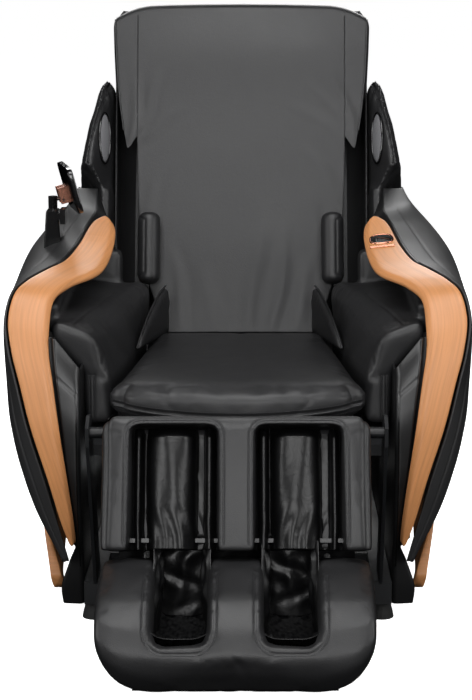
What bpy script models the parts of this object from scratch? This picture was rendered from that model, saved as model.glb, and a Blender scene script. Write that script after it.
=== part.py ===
"""Full-body massage chair, built from its frame outwards.

Metres, +Z up. The sitter faces -Y. "left" and "right" in a name are the sitter's own, so left is +X.
The floor is z = 0. Three empties carry what moves: recline_axis (backrest), leg_axis (calf unit) and
foot_axis (foot unit, which slides along the calf unit).
"""

import math

import bmesh
import bpy
from mathutils import Matrix, Vector

# Driving dimensions
GAP = 0.0003                      # running gap between neighbouring pieces
LEAN = math.radians(20)           # backrest from vertical, and calf unit from vertical
RECLINE_Y, RECLINE_Z = 0.200, 0.330
LEG_Y, LEG_Z = -0.455, 0.372
FOOT_Y, FOOT_Z = -0.620, 0.012    # foot unit's datum: under its middle, at its underside
Y_SHIFT = 0.112                   # moves the whole chair so that its box is centred on Y = 0
PIN_R = 0.010
RAIL_X = 0.262                    # middle of the base frame's side rails
RAIL_W, RAIL_LOW, RAIL_HIGH = 0.034, 0.030, 0.070
PLATE = 0.006
FEET_Y = (-0.345, 0.395)
ACTUATOR_X = 0.060                # recline actuator at +X, leg actuator at -X
RECLINE_ANCHOR = (-0.170, 0.150)
LEG_ANCHOR = (-0.170, 0.170)
RECLINE_LUG = (0.0886, -0.0157)   # in the backrest's own frame
LEG_LUG = (0.0257, -0.0705)        # in the calf unit's own frame
FENDER_R = 0.395                  # side shell's rear edge, an arc about the recline pivot
WOOD = 0.015
ROLLER_Y = 0.036                  # massage rollers behind the cover, in the backrest's own frame
SHELL = 0.004
CALF_X, CALF_TOP, CALF_LOW = 0.229, 0.028, -0.205
FOOT_X = 0.2285
SEAT_X = 0.240
TUBE_X = 0.155
CHANNEL_IN, CHANNEL_OUT = 0.030, 0.182
BOOT_IN, BOOT_OUT = 0.041, 0.141

SIDES = (("left", 1), ("right", -1))


# ---------------------------------------------------------------- scene and materials

for old in list(bpy.data.objects):
    bpy.data.objects.remove(old, do_unlink=True)

CHAIR = bpy.data.collections.new("massage_chair")
CUTTERS = bpy.data.collections.new("cutters")
for collection in (CHAIR, CUTTERS):
    bpy.context.scene.collection.children.link(collection)


def finish(name, colour, roughness, metallic=0.0):
    """A Principled material."""
    made = bpy.data.materials.new(name)
    made.use_nodes = True
    shader = made.node_tree.nodes["Principled BSDF"]
    shader.inputs["Base Color"].default_value = (*colour, 1)
    shader.inputs["Roughness"].default_value = roughness
    shader.inputs["Metallic"].default_value = metallic
    return made


LEATHER = finish("black_leatherette", (0.022, 0.022, 0.023), 0.42)
BLACK = finish("black_abs", (0.018, 0.018, 0.019), 0.38)
BEECH = finish("bent_beech", (0.60, 0.31, 0.14), 0.40)
STEEL = finish("painted_steel", (0.05, 0.05, 0.055), 0.50, 0.6)
BRIGHT = finish("zinc_steel", (0.55, 0.55, 0.56), 0.32, 1.0)
RUBBER = finish("rubber", (0.03, 0.03, 0.03), 0.80)
COPPER = finish("rose_gold", (0.75, 0.42, 0.32), 0.25, 1.0)
MESH = finish("speaker_cloth", (0.18, 0.18, 0.19), 0.85)
NYLON = finish("cream_nylon", (0.62, 0.58, 0.48), 0.45)


# ---------------------------------------------------------------- shape helpers

def axis_empty(name, location, lean=0.0, parent=None):
    """An empty on a joint's axis. Its own Z runs up the unit that it carries."""
    made = bpy.data.objects.new(name, None)
    CHAIR.objects.link(made)
    world = Matrix.Translation(location) @ Matrix.Rotation(-lean, 4, "X")
    if parent:
        made.parent = parent
        world = parent.matrix_basis.inverted() @ world
    made.matrix_basis = world
    return made


CHAIR_AXIS = axis_empty("chair_origin", (0, Y_SHIFT, 0))


def local_axis(name, y, z, lean):
    made = axis_empty(name, (0, y, z), lean)
    made.parent = CHAIR_AXIS
    return made


RECLINE = local_axis("recline_axis", RECLINE_Y, RECLINE_Z, LEAN)
LEG = local_axis("leg_axis", LEG_Y, LEG_Z, LEAN)
FOOT = axis_empty("foot_axis", (0, FOOT_Y, FOOT_Z), 0, LEG)
SWIVEL = axis_empty("swivel_axis", (-0.364, 0.001, 0.7065))
SWIVEL.rotation_euler = (0, 0, math.radians(13))
SWIVEL.parent = CHAIR_AXIS
TILT = axis_empty("tilt_axis", (0.019, 0, 0.020))
TILT.rotation_euler = (0, math.radians(-15), 0)
TILT.parent = SWIVEL


def add(name, mesh, material, parent=CHAIR_AXIS, location=(0, 0, 0)):
    """A node of the chair."""
    made = bpy.data.objects.new(name, mesh)
    CHAIR.objects.link(made)
    made.data.materials.append(material)
    made.parent = parent
    made.location = location
    return made


def helper(made):
    """Turns a node into a hidden cutter or joined shape."""
    CHAIR.objects.unlink(made)
    CUTTERS.objects.link(made)
    made.hide_render = True
    made.display_type = "WIRE"
    return made


def mesh_of(bm, name, outward=None):
    """The finished mesh. An open surface can't tell its outside, so it is given a direction."""
    bmesh.ops.recalc_face_normals(bm, faces=bm.faces)
    if outward and sum(f.normal.dot(outward) * f.calc_area() for f in bm.faces) < 0:
        bmesh.ops.reverse_faces(bm, faces=bm.faces)
    mesh = bpy.data.meshes.new(name)
    bm.to_mesh(mesh)
    bm.free()
    return mesh


def rounded(made, width, segments=2, angle=35):
    """Rounds the edges sharper than an angle."""
    bevel = made.modifiers.new("round", "BEVEL")
    bevel.width = width
    bevel.segments = segments
    bevel.limit_method = "ANGLE"
    bevel.angle_limit = math.radians(angle)
    return made


def boolean(made, other, operation):
    step = made.modifiers.new(operation.lower(), "BOOLEAN")
    step.operation = operation
    step.object = other
    return made


def cut(made, *others):
    for other in others:
        boolean(made, helper(other), "DIFFERENCE")
    return made


def join(made, *others):
    for other in others:
        boolean(made, helper(other), "UNION")
    return made


def box(name, low, high, material=STEEL, parent=CHAIR_AXIS, cuts=(), shape=None):
    """A box between two corners. cuts are (axis, place) planes that give it extra edges, and shape
    then moves each of its points, as a carpenter's template would."""
    bm = bmesh.new()
    bmesh.ops.create_cube(bm, size=1)
    low, high = Vector(low), Vector(high)
    for v in bm.verts:
        v.co = [low[k] + (v.co[k] + 0.5) * (high[k] - low[k]) for k in range(3)]
    for axis, place in cuts:
        normal = Vector([float(k == axis) for k in range(3)])
        everything = bm.verts[:] + bm.edges[:] + bm.faces[:]
        bmesh.ops.bisect_plane(bm, geom=everything, plane_co=normal * place, plane_no=normal)
    for v in bm.verts if shape else ():
        v.co = shape(*v.co)
    return add(name, mesh_of(bm, name), material, parent)


TURNS = {"X": Matrix.Rotation(math.pi / 2, 4, "Y"), "Y": Matrix.Rotation(math.pi / 2, 4, "X"),
         "Z": Matrix.Identity(4)}


def cylinder(name, radius, length, centre, along="X", material=STEEL, parent=CHAIR_AXIS, sides=20, end=None):
    """A round bar about its centre, which is also its origin. end is the far radius of a taper."""
    bm = bmesh.new()
    far = radius if end is None else end
    bmesh.ops.create_cone(bm, cap_ends=True, segments=sides, radius1=radius, radius2=far,
                          depth=length, matrix=TURNS[along])
    return add(name, mesh_of(bm, name), material, parent, centre)


def spun(name, profile, centre, material, parent=CHAIR_AXIS, steps=24, along="X"):
    """A turned shape. The profile is (radius, height) pairs from top to bottom of its outer side."""
    bm = bmesh.new()
    points = [bm.verts.new((r, 0, h)) for r, h in profile]
    for a, b in zip(points, points[1:]):
        bm.edges.new((a, b))
    mesh = bpy.data.meshes.new(name)
    bm.to_mesh(mesh)
    bm.free()
    made = add(name, mesh, material, parent, centre)
    made.rotation_euler = TURNS[along].to_euler()
    screw = made.modifiers.new("turn", "SCREW")
    screw.steps = screw.render_steps = steps
    screw.use_merge_vertices = True
    screw.merge_threshold = 0.0001
    return made


def slab(name, outline, x_low, x_high, material=STEEL, parent=CHAIR_AXIS):
    """A flat outline of (y, z) points, given a thickness along X."""
    curve = bpy.data.curves.new(name, "CURVE")
    curve.dimensions = "2D"
    curve.fill_mode = "BOTH"
    curve.extrude = (x_high - x_low) / 2
    spline = curve.splines.new("POLY")
    spline.points.add(len(outline) - 1)
    for point, (y, z) in zip(spline.points, outline):
        point.co = (y, z, 0, 1)
    spline.use_cyclic_u = True
    guide = bpy.data.objects.new(name + "_outline", curve)
    bpy.context.scene.collection.objects.link(guide)
    bpy.context.view_layer.update()
    mesh = bpy.data.meshes.new_from_object(guide.evaluated_get(bpy.context.evaluated_depsgraph_get()))
    bpy.data.objects.remove(guide)
    bm = bmesh.new()
    bm.from_mesh(mesh)
    bmesh.ops.remove_doubles(bm, verts=bm.verts, dist=1e-6)
    turn = Matrix(((0, 0, 1, (x_low + x_high) / 2), (1, 0, 0, 0), (0, 1, 0, 0), (0, 0, 0, 1)))
    bmesh.ops.transform(bm, matrix=turn, verts=bm.verts)
    return add(name, mesh_of(bm, name), material, parent)


def smooth_through(points, per_span):
    """Catmull-Rom curve through points given as equal-length tuples of numbers."""
    padded = [points[0], *points, points[-1]]
    made = []
    for a, b, c, d in zip(padded, padded[1:], padded[2:], padded[3:]):
        for k in range(per_span):
            t = k / per_span
            made.append(tuple(
                0.5 * (2 * q + (r - p) * t + (2 * p - 5 * q + 4 * r - s) * t * t
                       + (3 * q - p - 3 * r + s) * t ** 3)
                for p, q, r, s in zip(a, b, c, d)))
    return [*made, tuple(points[-1])]


def between(knots, at):
    """Straight-line reading of a (place, value) table."""
    for (a, u), (b, v) in zip(knots, knots[1:]):
        if at <= b:
            return u + (v - u) * max(0.0, (at - a) / (b - a))
    return knots[-1][1]


def loft(name, rings, material, parent=CHAIR_AXIS):
    """A closed body through rings of equally many points, with flat ends."""
    bm = bmesh.new()
    loops = [[bm.verts.new(p) for p in ring] for ring in rings]
    count = len(rings[0])
    for near, far in zip(loops, loops[1:]):
        for k in range(count):
            n = (k + 1) % count
            bm.faces.new((near[k], near[n], far[n], far[k]))
    bm.faces.new(loops[0])
    bm.faces.new(loops[-1])
    return add(name, mesh_of(bm, name), material, parent)


def sheet(name, rows, thickness, material, outward, parent=CHAIR_AXIS):
    """An open surface of rows of points, thickened inwards with Solidify."""
    bm = bmesh.new()
    grid = [[bm.verts.new(p) for p in row] for row in rows]
    for near, far in zip(grid, grid[1:]):
        for k in range(len(near) - 1):
            bm.faces.new((near[k], near[k + 1], far[k + 1], far[k]))
    made = add(name, mesh_of(bm, name, Vector(outward)), material, parent)
    solid = made.modifiers.new("wall", "SOLIDIFY")
    solid.thickness = thickness
    solid.offset = -1
    return made


def other_side(x, side):
    return x if side > 0 else -x


def span(side, low, high):
    """(low, high) of an X range on the sitter's left, mirrored for the right."""
    return (low, high) if side > 0 else (-high, -low)


# ---------------------------------------------------------------- base

def base_frame():
    """Welded steel frame: two long rails, cross tubes, seat rails, pivot plates and anchor ears."""
    cross = RAIL_X + RAIL_W / 2 - 0.002
    frame = box("base_frame", (-cross, 0.385, RAIL_LOW), (cross, 0.415, RAIL_HIGH))
    pieces = [box("cross_front", (-cross, -0.365, RAIL_LOW), (cross, -0.335, RAIL_HIGH)),
              box("cross_middle", (-cross, -0.185, RAIL_LOW + 0.002), (cross, -0.155, RAIL_HIGH - 0.002))]
    for label, side in SIDES:
        outer, inner = RAIL_X + RAIL_W / 2, RAIL_X - RAIL_W / 2
        x = span(side, inner, outer)
        pieces.append(box(f"rail_{label}", (x[0], -0.367, RAIL_LOW - 0.001), (x[1], 0.417, RAIL_HIGH + 0.001)))
        x = span(side, RAIL_X - PLATE, RAIL_X)
        front = [(-0.360, 0.050), (-0.280, 0.050), (-0.385, 0.330), (-0.4275, 0.398), (-0.455, 0.402),
                 (-0.484, 0.386), (-0.480, 0.352)]
        rear = [(0.060, 0.050), (0.360, 0.050), (0.226, 0.345), (0.214, 0.356), (0.188, 0.356), (0.172, 0.340)]
        pieces.append(slab(f"front_plate_{label}", front, *x))
        pieces.append(slab(f"rear_plate_{label}", rear, *x))
        x = span(side, RAIL_X - 0.026, RAIL_X - 0.001)
        pieces.append(box(f"seat_rail_{label}", (x[0], -0.3945, 0.315), (x[1], 0.200, 0.3345)))
        x = other_side(RAIL_X - 0.0165, side)
        pieces.append(cylinder(f"leg_pin_{label}", PIN_R, 0.035, (x, LEG_Y, LEG_Z)))
        x = other_side(RAIL_X - 0.030, side)
        pieces.append(cylinder(f"recline_pin_{label}", PIN_R, 0.060, (x, RECLINE_Y, RECLINE_Z)))
        pieces.append(cylinder(f"wheel_stub_{label}", 0.006, 0.040, (other_side(RAIL_X - 0.030, side), 0.340, 0.045)))
        reach = LEG_ANCHOR if side < 0 else RECLINE_ANCHOR
        for ear in (-0.019, 0.019):
            middle = other_side(ACTUATOR_X, side) + ear
            ear_outline = [(-0.188, 0.060), (-0.152, 0.060), (-0.152, reach[1] + 0.012), (-0.188, reach[1] + 0.012)]
            pieces.append(slab(f"anchor_{label}_{ear}", ear_outline, middle - 0.004, middle + 0.004))
        pieces.append(cylinder(f"anchor_pin_{label}", 0.005, 0.040, (other_side(ACTUATOR_X, side), *reach), sides=12))
    join(frame, *pieces)
    sockets = [cylinder(f"foot_socket_{y}_{side}", 0.0053, 0.030, (side * RAIL_X, y, 0.034), "Z", sides=12)
               for y in FEET_Y for side in (1, -1)]
    return cut(frame, *sockets)


def levelling_feet():
    """Rubber pad moulded on a threaded stud, screwed up into each end of the side rails."""
    profile = [(0.0, 0.045), (0.005, 0.045), (0.005, 0.0287), (0.016, 0.0287), (0.021, 0.010), (0.023, 0.0),
               (0.0, 0.0)]
    for place, y in zip(("front", "rear"), FEET_Y):
        for label, side in SIDES:
            spun(f"foot_{place}_{label}", profile, (side * RAIL_X, y, 0), RUBBER, along="Z", steps=20)


def transport_wheels():
    """Wheels that meet the floor only when the chair is tipped back."""
    for label, side in SIDES:
        x = other_side(RAIL_X - 0.036, side)
        wheel = cylinder(f"wheel_{label}", 0.038, 0.018, (x, 0.340, 0.045), material=RUBBER, sides=28)
        rounded(wheel, 0.004)
        cut(wheel, cylinder(f"wheel_bore_{label}", 0.0063, 0.030, (x, 0.340, 0.045)))


def electrics():
    """Power unit, air pump, and the rear panel with its mains inlet and rocker switch."""
    rounded(box("control_box", (0.030, 0.215, RAIL_HIGH + 0.003), (0.200, 0.330, 0.135), BLACK), 0.006)
    pump = box("air_pump", (-0.200, 0.180, RAIL_HIGH + 0.003), (-0.050, 0.290, 0.140), BRIGHT)
    rounded(pump, 0.010, 3)
    ports = [cylinder(f"pump_port_{k}", 0.006, 0.020, (-0.170 + 0.030 * k, 0.172, 0.110), "Y", BLACK, sides=12)
             for k in range(3)]
    join(pump, *ports)
    panel = box("mains_inlet", (0.050, 0.4364, 0.080), (0.150, 0.4490, 0.125), BLACK)
    rounded(panel, 0.002)
    recess = box("inlet_recess", (0.058, 0.4400, 0.0905), (0.084, 0.4600, 0.1145))
    window = box("switch_window", (0.106, 0.4200, 0.0915), (0.130, 0.4600, 0.1135))
    cut(panel, recess, window)

    def rocker(x, y, z):
        return x, y + (0.0025 if abs(z - 0.1025) > 0.005 else 0.0), z

    box("power_switch", (0.1066, 0.4380, 0.0925), (0.1294, 0.4495, 0.1125), BLACK,
        cuts=((2, 0.1025),), shape=rocker)


def rear_cover():
    """Curved panel that closes the back of the base, with a window for the mains panel."""
    rows = []
    for k in range(7):
        z = 0.022 + 0.033 * k
        back = 0.436 - 0.9 * max(0.0, z - 0.120) ** 1.5
        rows.append([(x, back - 0.25 * max(0.0, abs(x) - 0.200) ** 1.3, z)
                     for x in (-0.279, -0.26, -0.23, -0.2, 0.0, 0.2, 0.23, 0.26, 0.279)])
    cover = sheet("rear_cover", rows, 0.004, BLACK, (0, 1, 0))
    cut(cover, box("cover_window", (0.060, 0.300, 0.087), (0.140, 0.460, 0.118)))


def outer_x(z):
    """Half-width of the chair's side at a height."""
    return between(SIDE_OUTLINE, z)


SIDE_OUTLINE = [(0.100, 0.312), (0.150, 0.338), (0.190, 0.360), (0.232, 0.378), (0.300, 0.402), (0.371, 0.4200),
                (0.465, 0.434), (0.520, 0.4405), (0.565, 0.4405), (0.604, 0.434), (0.641, 0.415), (0.677, 0.383),
                (0.705, 0.353), (0.728, 0.330)]

# Outer edge and inner edge of the wooden arm, from its rear tip forwards and then down the front.
ARM_STATIONS = [
    (0.288, 0.047, 0.684, 0.262, 0.044, 0.683), (0.302, 0.012, 0.672, 0.251, 0.005, 0.665),
    (0.314, -0.060, 0.646, 0.2515, -0.060, 0.641), (0.331, -0.140, 0.627, 0.259, -0.130, 0.623),
    (0.354, -0.198, 0.618, 0.2725, -0.186, 0.614), (0.384, -0.262, 0.609, 0.312, -0.245, 0.603),
    (0.406, -0.306, 0.592, 0.338, -0.296, 0.583), (0.4155, -0.336, 0.550, 0.3436, -0.334, 0.542),
    (0.4075, -0.358, 0.497, 0.3425, -0.360, 0.495), (0.3905, -0.374, 0.4376, 0.333, -0.380, 0.4376),
    (0.3688, -0.388, 0.3616, 0.3188, -0.394, 0.3616), (0.3414, -0.393, 0.274, 0.3066, -0.398, 0.274),
    (0.3200, -0.386, 0.194, 0.2975, -0.390, 0.194), (0.3030, -0.375, 0.141, 0.2950, -0.377, 0.141)]


def wooden_arms():
    """Bent beech: a flat arm top that turns outwards, then down the front edge to a point."""
    stations = smooth_through(ARM_STATIONS, 2)
    for label, side in SIDES:
        rings = []
        for k, s in enumerate(stations):
            outer, inner = Vector(s[:3]), Vector(s[3:])
            before, after = stations[max(k - 1, 0)], stations[min(k + 1, len(stations) - 1)]
            along = Vector(after[:3]) + Vector(after[3:]) - Vector(before[:3]) - Vector(before[3:])
            down = along.cross(outer - inner).normalized() * -WOOD
            ring = [outer, inner, inner + down, outer + down]
            rings.append([(other_side(p.x, side), p.y, p.z) for p in ring])
        arm = loft(f"wood_arm_{label}", rings, BEECH)
        rounded(arm, 0.003, 1, 50)
        if side > 0:
            cut(arm, box("control_pocket", (0.2570, -0.0585, 0.620), (0.3050, -0.0215, 0.690)))


def arm_rim(u):
    """Point of the side shell's front rim: 0 at the rear top, 1 at the lower tip."""
    rim = [(0.312, 0.195, 0.724), (0.303, 0.120, 0.704)]
    rim += [(s[0] + 0.0070, s[1] + (0.004 if k > 6 else 0.0), s[2] - (0.001 if k < 7 else 0.0))
            for k, s in enumerate(ARM_STATIONS) if k]
    rim[-1] = (0.3060, -0.371, 0.112)
    place = u * (len(rim) - 1)
    k = min(int(place), len(rim) - 2)
    return Vector(rim[k]).lerp(Vector(rim[k + 1]), place - k)


def far_edge(u):
    """Point of the side shell's rear and lower edge, level with arm_rim(u)."""
    arc = [(RECLINE_Y + FENDER_R * math.cos(a), RECLINE_Z + FENDER_R * math.sin(a))
           for a in (math.radians(86 - 12 * k) for k in range(6))]
    edge = [*arc, (0.520, 0.425), (0.400, 0.362), (0.250, 0.312), (0.100, 0.268), (-0.050, 0.226),
            (-0.180, 0.185), (-0.280, 0.145), (-0.352, 0.104)]
    place = u * (len(edge) - 1)
    k = min(int(place), len(edge) - 2)
    t = place - k
    y, z = (edge[k][j] + (edge[k + 1][j] - edge[k][j]) * t for j in (0, 1))
    return Vector((0.340 if u < 0.36 else 0.340 + 0.045 * min(1.0, (u - 0.36) / 0.2), y, z))


def side_shells():
    """Outer black shell: over the shoulder from the wooden arm's edge, and down the whole side."""
    steps, across = 30, 9
    for label, side in SIDES:
        rows = []
        for i in range(steps + 1):
            u = i / steps
            rim, far = arm_rim(u), far_edge(u)
            row = []
            for j in range(across + 1):
                v = j / across
                p = rim.lerp(far, v)
                full = outer_x(p.z)
                if v < 0.30:
                    p.x = full - (full - rim.x) * (1 - v / 0.30) ** 2.2
                else:
                    p.x = full - max(0.0, full - far.x) * ((v - 0.30) / 0.70) ** 3
                row.append((other_side(p.x, side), p.y, p.z))
            rows.append(row)
        sheet(f"side_shell_{label}", rows, SHELL, BLACK, (side, 0, 0))


def wood_sweeps():
    """Leaf of beech under the side shell, from a low front tip up to the rear."""
    lower = smooth_through([(-0.250, 0.022), (-0.100, 0.042), (0.100, 0.108), (0.300, 0.208), (0.500, 0.405)], 3)
    upper = smooth_through([(-0.2615, 0.050), (-0.200, 0.150), (-0.060, 0.202), (0.100, 0.248), (0.300, 0.312),
                            (0.508, 0.411)], 3)
    for label, side in SIDES:
        rings = []
        for k in range(13):
            low, high = (between_points(edge, k / 12) for edge in (lower, upper))
            ring = []
            for x_in, (y, z) in ((0.0, low), (0.0, high), (0.012, high), (0.012, low)):
                ring.append((other_side(min(0.372, 0.347 + 0.200 * (z - 0.020)) - x_in, side), y, z))
            rings.append(ring)
        loft(f"wood_sweep_{label}", rings, BEECH)


def between_points(points, t):
    place = t * (len(points) - 1)
    k = min(int(place), len(points) - 2)
    return tuple(a + (b - a) * (place - k) for a, b in zip(points[k], points[k + 1]))


# Front edge of the inner panels: height, Y of the front face, and X of its outer edge.
PANEL_STATIONS = [(0.020, -0.338, 0.3200), (0.050, -0.342, 0.3260), (0.118, -0.346, 0.3020), (0.130, -0.355, 0.2940),
                  (0.150, -0.370, 0.2905), (0.194, -0.381, 0.2950), (0.274, -0.388, 0.3045), (0.3616, -0.383, 0.3165), (0.420, -0.372, 0.3265),
                  (0.4400, -0.352, 0.3320)]


def inner_panels():
    """Moulded side housing between the legs and the wooden arm. It is open to the outside."""
    for label, side in SIDES:
        rings, hollow = [], []
        for k, (z, front, outer) in enumerate(PANEL_STATIONS):
            rear = 0.400 - 0.60 * max(0.0, z - 0.120)
            corners = [(0.2805, front + 0.012), (0.2885, front), (outer, front + 0.003), (outer, rear), (0.2805, rear)]
            rings.append([(other_side(x, side), y, z + max(0.0, x - 0.2805) * (1.1 if k > 6 else 0.0))
                          for x, y in corners])
        panel = loft(f"inner_panel_{label}", rings, BLACK)
        x = span(side, 0.2845, 0.3500)
        cut(panel, box(f"inner_panel_hollow_{label}", (x[0], -0.330, 0.0260), (x[1], 0.192, 0.4320)),
            box(f"inner_panel_heel_{label}", (x[0], 0.190, 0.0262), (x[1], 0.375, 0.2100)))


def arm_pads():
    """Forearm cushions on the side housings, each with a skirt down beside the seat, and the hip crescents."""
    for label, side in SIDES:
        rings = []
        for y in (-0.305, -0.240, -0.100, 0.020, 0.135):
            back = (y + 0.305) / 0.440
            low, high = SEAT_X * (0.8 + 0.2 * (0.05 - y) / 0.465) + 0.008, 0.260 - 0.078 * back
            ring = [(low, 0.3500), (0.2795, 0.3500), (0.2795, 0.4430), (0.3360, 0.5040),
                    (0.3400, 0.5250 + 0.012 * back), (0.330, 0.541 + 0.010 * back), (high + 0.012, 0.519 + 0.022 * back),
                    (high, 0.506 + 0.020 * back), (low + 0.001, 0.4300)]
            rings.append([(other_side(x, side), y, z) for x, z in ring])
        pad = rounded(loft(f"arm_pad_{label}", rings, LEATHER), 0.008, 2, 50)
        x = span(side, 0.3300, 0.3720)
        wall = box(f"forearm_wall_{label}", (x[0], -0.262, 0.515), (x[1], 0.1345, 0.570))
        x = span(side, 0.2400, 0.3710)
        rear = box(f"elbow_wall_{label}", (x[0], 0.085, 0.500), (x[1], 0.1340, 0.612))
        join(pad, rounded(wall, 0.008, 2), rounded(rear, 0.010, 2))

        outline = [(-0.040, 0.4330), (0.060, 0.4330), (0.136, 0.4330), (0.142, 0.500), (0.128, 0.530), (0.090, 0.521),
                   (0.030, 0.490), (-0.020, 0.455)]
        rings = [[(other_side(x - 0.29 * y, side), y, z) for y, z in outline] for x in (0.1830, 0.1955)]
        rounded(loft(f"hip_pad_{label}", rings, LEATHER), 0.005, 2, 50)


def seat():
    """Seat pan on the seat rails, and its cushion with a curved front lip."""
    rounded(box("seat_pan", (-0.252, -0.398, 0.3348), (0.252, 0.130, 0.3490)), 0.004)

    def cushion(x, y, z):
        front = max(0.0, (0.05 - y) / 0.465)
        y = y - (0.022 * (1 - (x / 0.24) ** 2) * front if y < -0.2 else 0.0)
        return x * (0.80 + 0.20 * front), y, z

    pad = box("seat_cushion", (-SEAT_X, -0.394, 0.3493), (SEAT_X, 0.150, 0.4320), LEATHER,
              cuts=((0, -0.16), (0, -0.08), (0, 0.0), (0, 0.08), (0, 0.16), (1, -0.33), (1, -0.1), (1, 0.05)),
              shape=cushion)
    rounded(pad, 0.020, 3)


# ---------------------------------------------------------------- controls and tablet stand

def arm_controls():
    """Oval trim ring and its rocker, set in the left arm's top."""
    slope = -0.35
    top = 0.6545

    def on_arm(x, y, z):
        return x, y, z + (y + 0.040) * slope * -1.0

    bezel = box("control_bezel", (0.2575, -0.0580, top - 0.014), (0.3045, -0.0220, top), COPPER, shape=on_arm)
    rounded(bezel, 0.010, 3, 80)
    cut(bezel, box("bezel_window", (0.2625, -0.0530, top - 0.030), (0.2995, -0.0270, top + 0.030)))
    box("control_rocker", (0.2635, -0.0520, top - 0.012), (0.2985, -0.0280, top - 0.0045), BLACK, shape=on_arm)


def tablet_stand():
    """Post through the right side shell, swivel knuckle with a hinge barrel, and the tablet on its bracket."""
    post = box("tablet_post", (-0.382, -0.020, 0.6200), (-0.346, 0.022, 0.7060), BLACK,
               shape=lambda x, y, z: (x + (0.006 if z > 0.69 else 0.0) * (1 if x < -0.36 else -1), y, z))
    rounded(post, 0.003)
    cradle = box("tablet_cradle", (-0.3455, -0.050, 0.6830), (-0.3350, -0.012, 0.7120), BLACK)
    join(post, box("tablet_cradle_web", (-0.352, -0.038, 0.6900), (-0.340, -0.014, 0.7010), BLACK), cradle)
    cut(bpy.data.objects["side_shell_right"], box("post_hole", (-0.3828, -0.0208, 0.6000), (-0.3452, 0.0228, 0.7200)))

    knuckle = cylinder("tablet_knuckle", 0.009, 0.0250, (0, 0, 0.0130), "Z", BLACK, SWIVEL, 20)
    join(knuckle, cylinder("knuckle_neck", 0.004, 0.018, (0.010, 0, 0.0200), "X", BLACK, SWIVEL, 12),
         cylinder("knuckle_barrel", 0.0055, 0.016, (0.019, 0, 0.0200), "Y", BLACK, SWIVEL, 16),
         cylinder("knuckle_pin", 0.0025, 0.034, (0.019, 0, 0.0200), "Y", BRIGHT, SWIVEL, 12))
    bracket = box("tablet_bracket", (-0.0060, -0.0210, -0.0080), (0.0150, 0.0210, 0.0240), COPPER, TILT)
    cut(bracket, box("bracket_notch", (-0.0300, -0.0090, -0.0300), (0.0070, 0.0090, 0.0300), parent=TILT),
        cylinder("bracket_bore", 0.0028, 0.060, (0, 0, 0), "Y", parent=TILT, sides=12))
    rounded(box("tablet", (0.0153, -0.0840, -0.0290), (0.0253, 0.0840, 0.0630), BLACK, TILT), 0.003)


# ---------------------------------------------------------------- backrest

def back_frame():
    """Guide rails for the massage unit, cross tubes, pivot ears and the actuator's lug."""
    frame = box("back_frame", (-0.224, 0.0310, 0.7050), (0.224, 0.0690, 0.7350), parent=RECLINE)
    pieces = [box("back_cross_low", (-0.224, 0.0350, 0.0250), (0.224, 0.0650, 0.0550), parent=RECLINE)]
    ear = [(-0.022, -0.014), (-0.014, -0.022), (0.014, -0.022), (0.072, 0.030), (0.072, 0.100), (0.030, 0.100),
           (-0.022, 0.014)]
    lug = [(0.040, 0.030), (0.060, 0.050), (0.100, -0.008), (0.100, -0.024), (0.090, -0.030), (0.078, -0.024)]
    for label, side in SIDES:
        x = span(side, 0.196, 0.226)
        pieces.append(box(f"guide_rail_{label}", (x[0], 0.0300, 0.010), (x[1], 0.0700, 0.740), parent=RECLINE))
        pieces.append(slab(f"pivot_ear_{label}", ear, *span(side, 0.204, 0.2255), parent=RECLINE))
        middle = ACTUATOR_X + 0.014 * side
        pieces.append(slab(f"lug_{label}", lug, middle - 0.004, middle + 0.004, parent=RECLINE))
    pieces.append(cylinder("lug_pin", 0.005, 0.030, (ACTUATOR_X, *RECLINE_LUG), parent=RECLINE, sides=12))
    join(frame, *pieces)
    cut(frame, cylinder("recline_bore", PIN_R + GAP, 0.600, (0, 0, 0), parent=RECLINE))


def back_shell():
    """Rear cover of the backrest, closed over the top."""
    heights = [(0.045, 0.100), (0.110, 0.128), (0.250, 0.138), (0.420, 0.136), (0.580, 0.122), (0.700, 0.100),
               (0.765, 0.078), (0.794, 0.040), (0.799, 0.000)]
    widths = [(0.0, 0.258), (0.300, 0.268), (0.600, 0.270), (0.765, 0.270), (0.799, 0.255)]
    rows = []
    for z, depth in heights:
        half = between(widths, z)
        rows.append([(half * math.copysign(min(1.0, abs(math.sin(a)) ** 0.55), a),
                      depth * abs(math.cos(a)) ** 0.42 + 0.004, z)
                     for a in (math.radians(7.5 * k) for k in range(-12, 13))])
    sheet("back_shell", rows, 0.004, BLACK, (0, 1, 0), RECLINE)


def wings():
    """Shoulder wings: padded side bolsters that reach forward of the back pad, with a speaker in each."""
    for label, side in SIDES:
        rings = [[(other_side(x, side), y, z) for x, y in
                  ((0.2725, 0.090), (0.292, 0.080), (0.300, 0.040), (0.300, -0.020), (0.297, -0.060), (0.289, -0.078),
                   (0.2735, -0.072))] for z in (0.190, 0.300, 0.385)]
        for k in range(8):
            t = k / 7
            z = 0.400 + 0.230 * t
            rear, lead = 0.095 - 0.030 * t, -0.120 + 0.070 * t ** 1.6
            inner = 0.2725
            wide = 0.0705 - 0.062 * t ** 1.7
            near = 0.030 * (1 - t) ** 2
            ring = [(0.0, rear), (0.86, rear - 0.020), (1.0, 0.020), (0.92, lead + 0.030), (0.78, lead),
                    (0.55, lead + 0.010), (0.08, -0.030)]
            rings.append([(other_side(inner + u * wide, side), y, z + near * max(0.0, -y / 0.120)) for u, y in ring])
        wing = rounded(loft(f"wing_{label}", rings, LEATHER, RECLINE), 0.004, 2, 50)
        cut(wing, grille(f"speaker_recess_{label}", side, 0.0075, 0.029, 0.0575))
        grille(f"speaker_{label}", side, 0.0060, 0.027, 0.0550)


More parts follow.
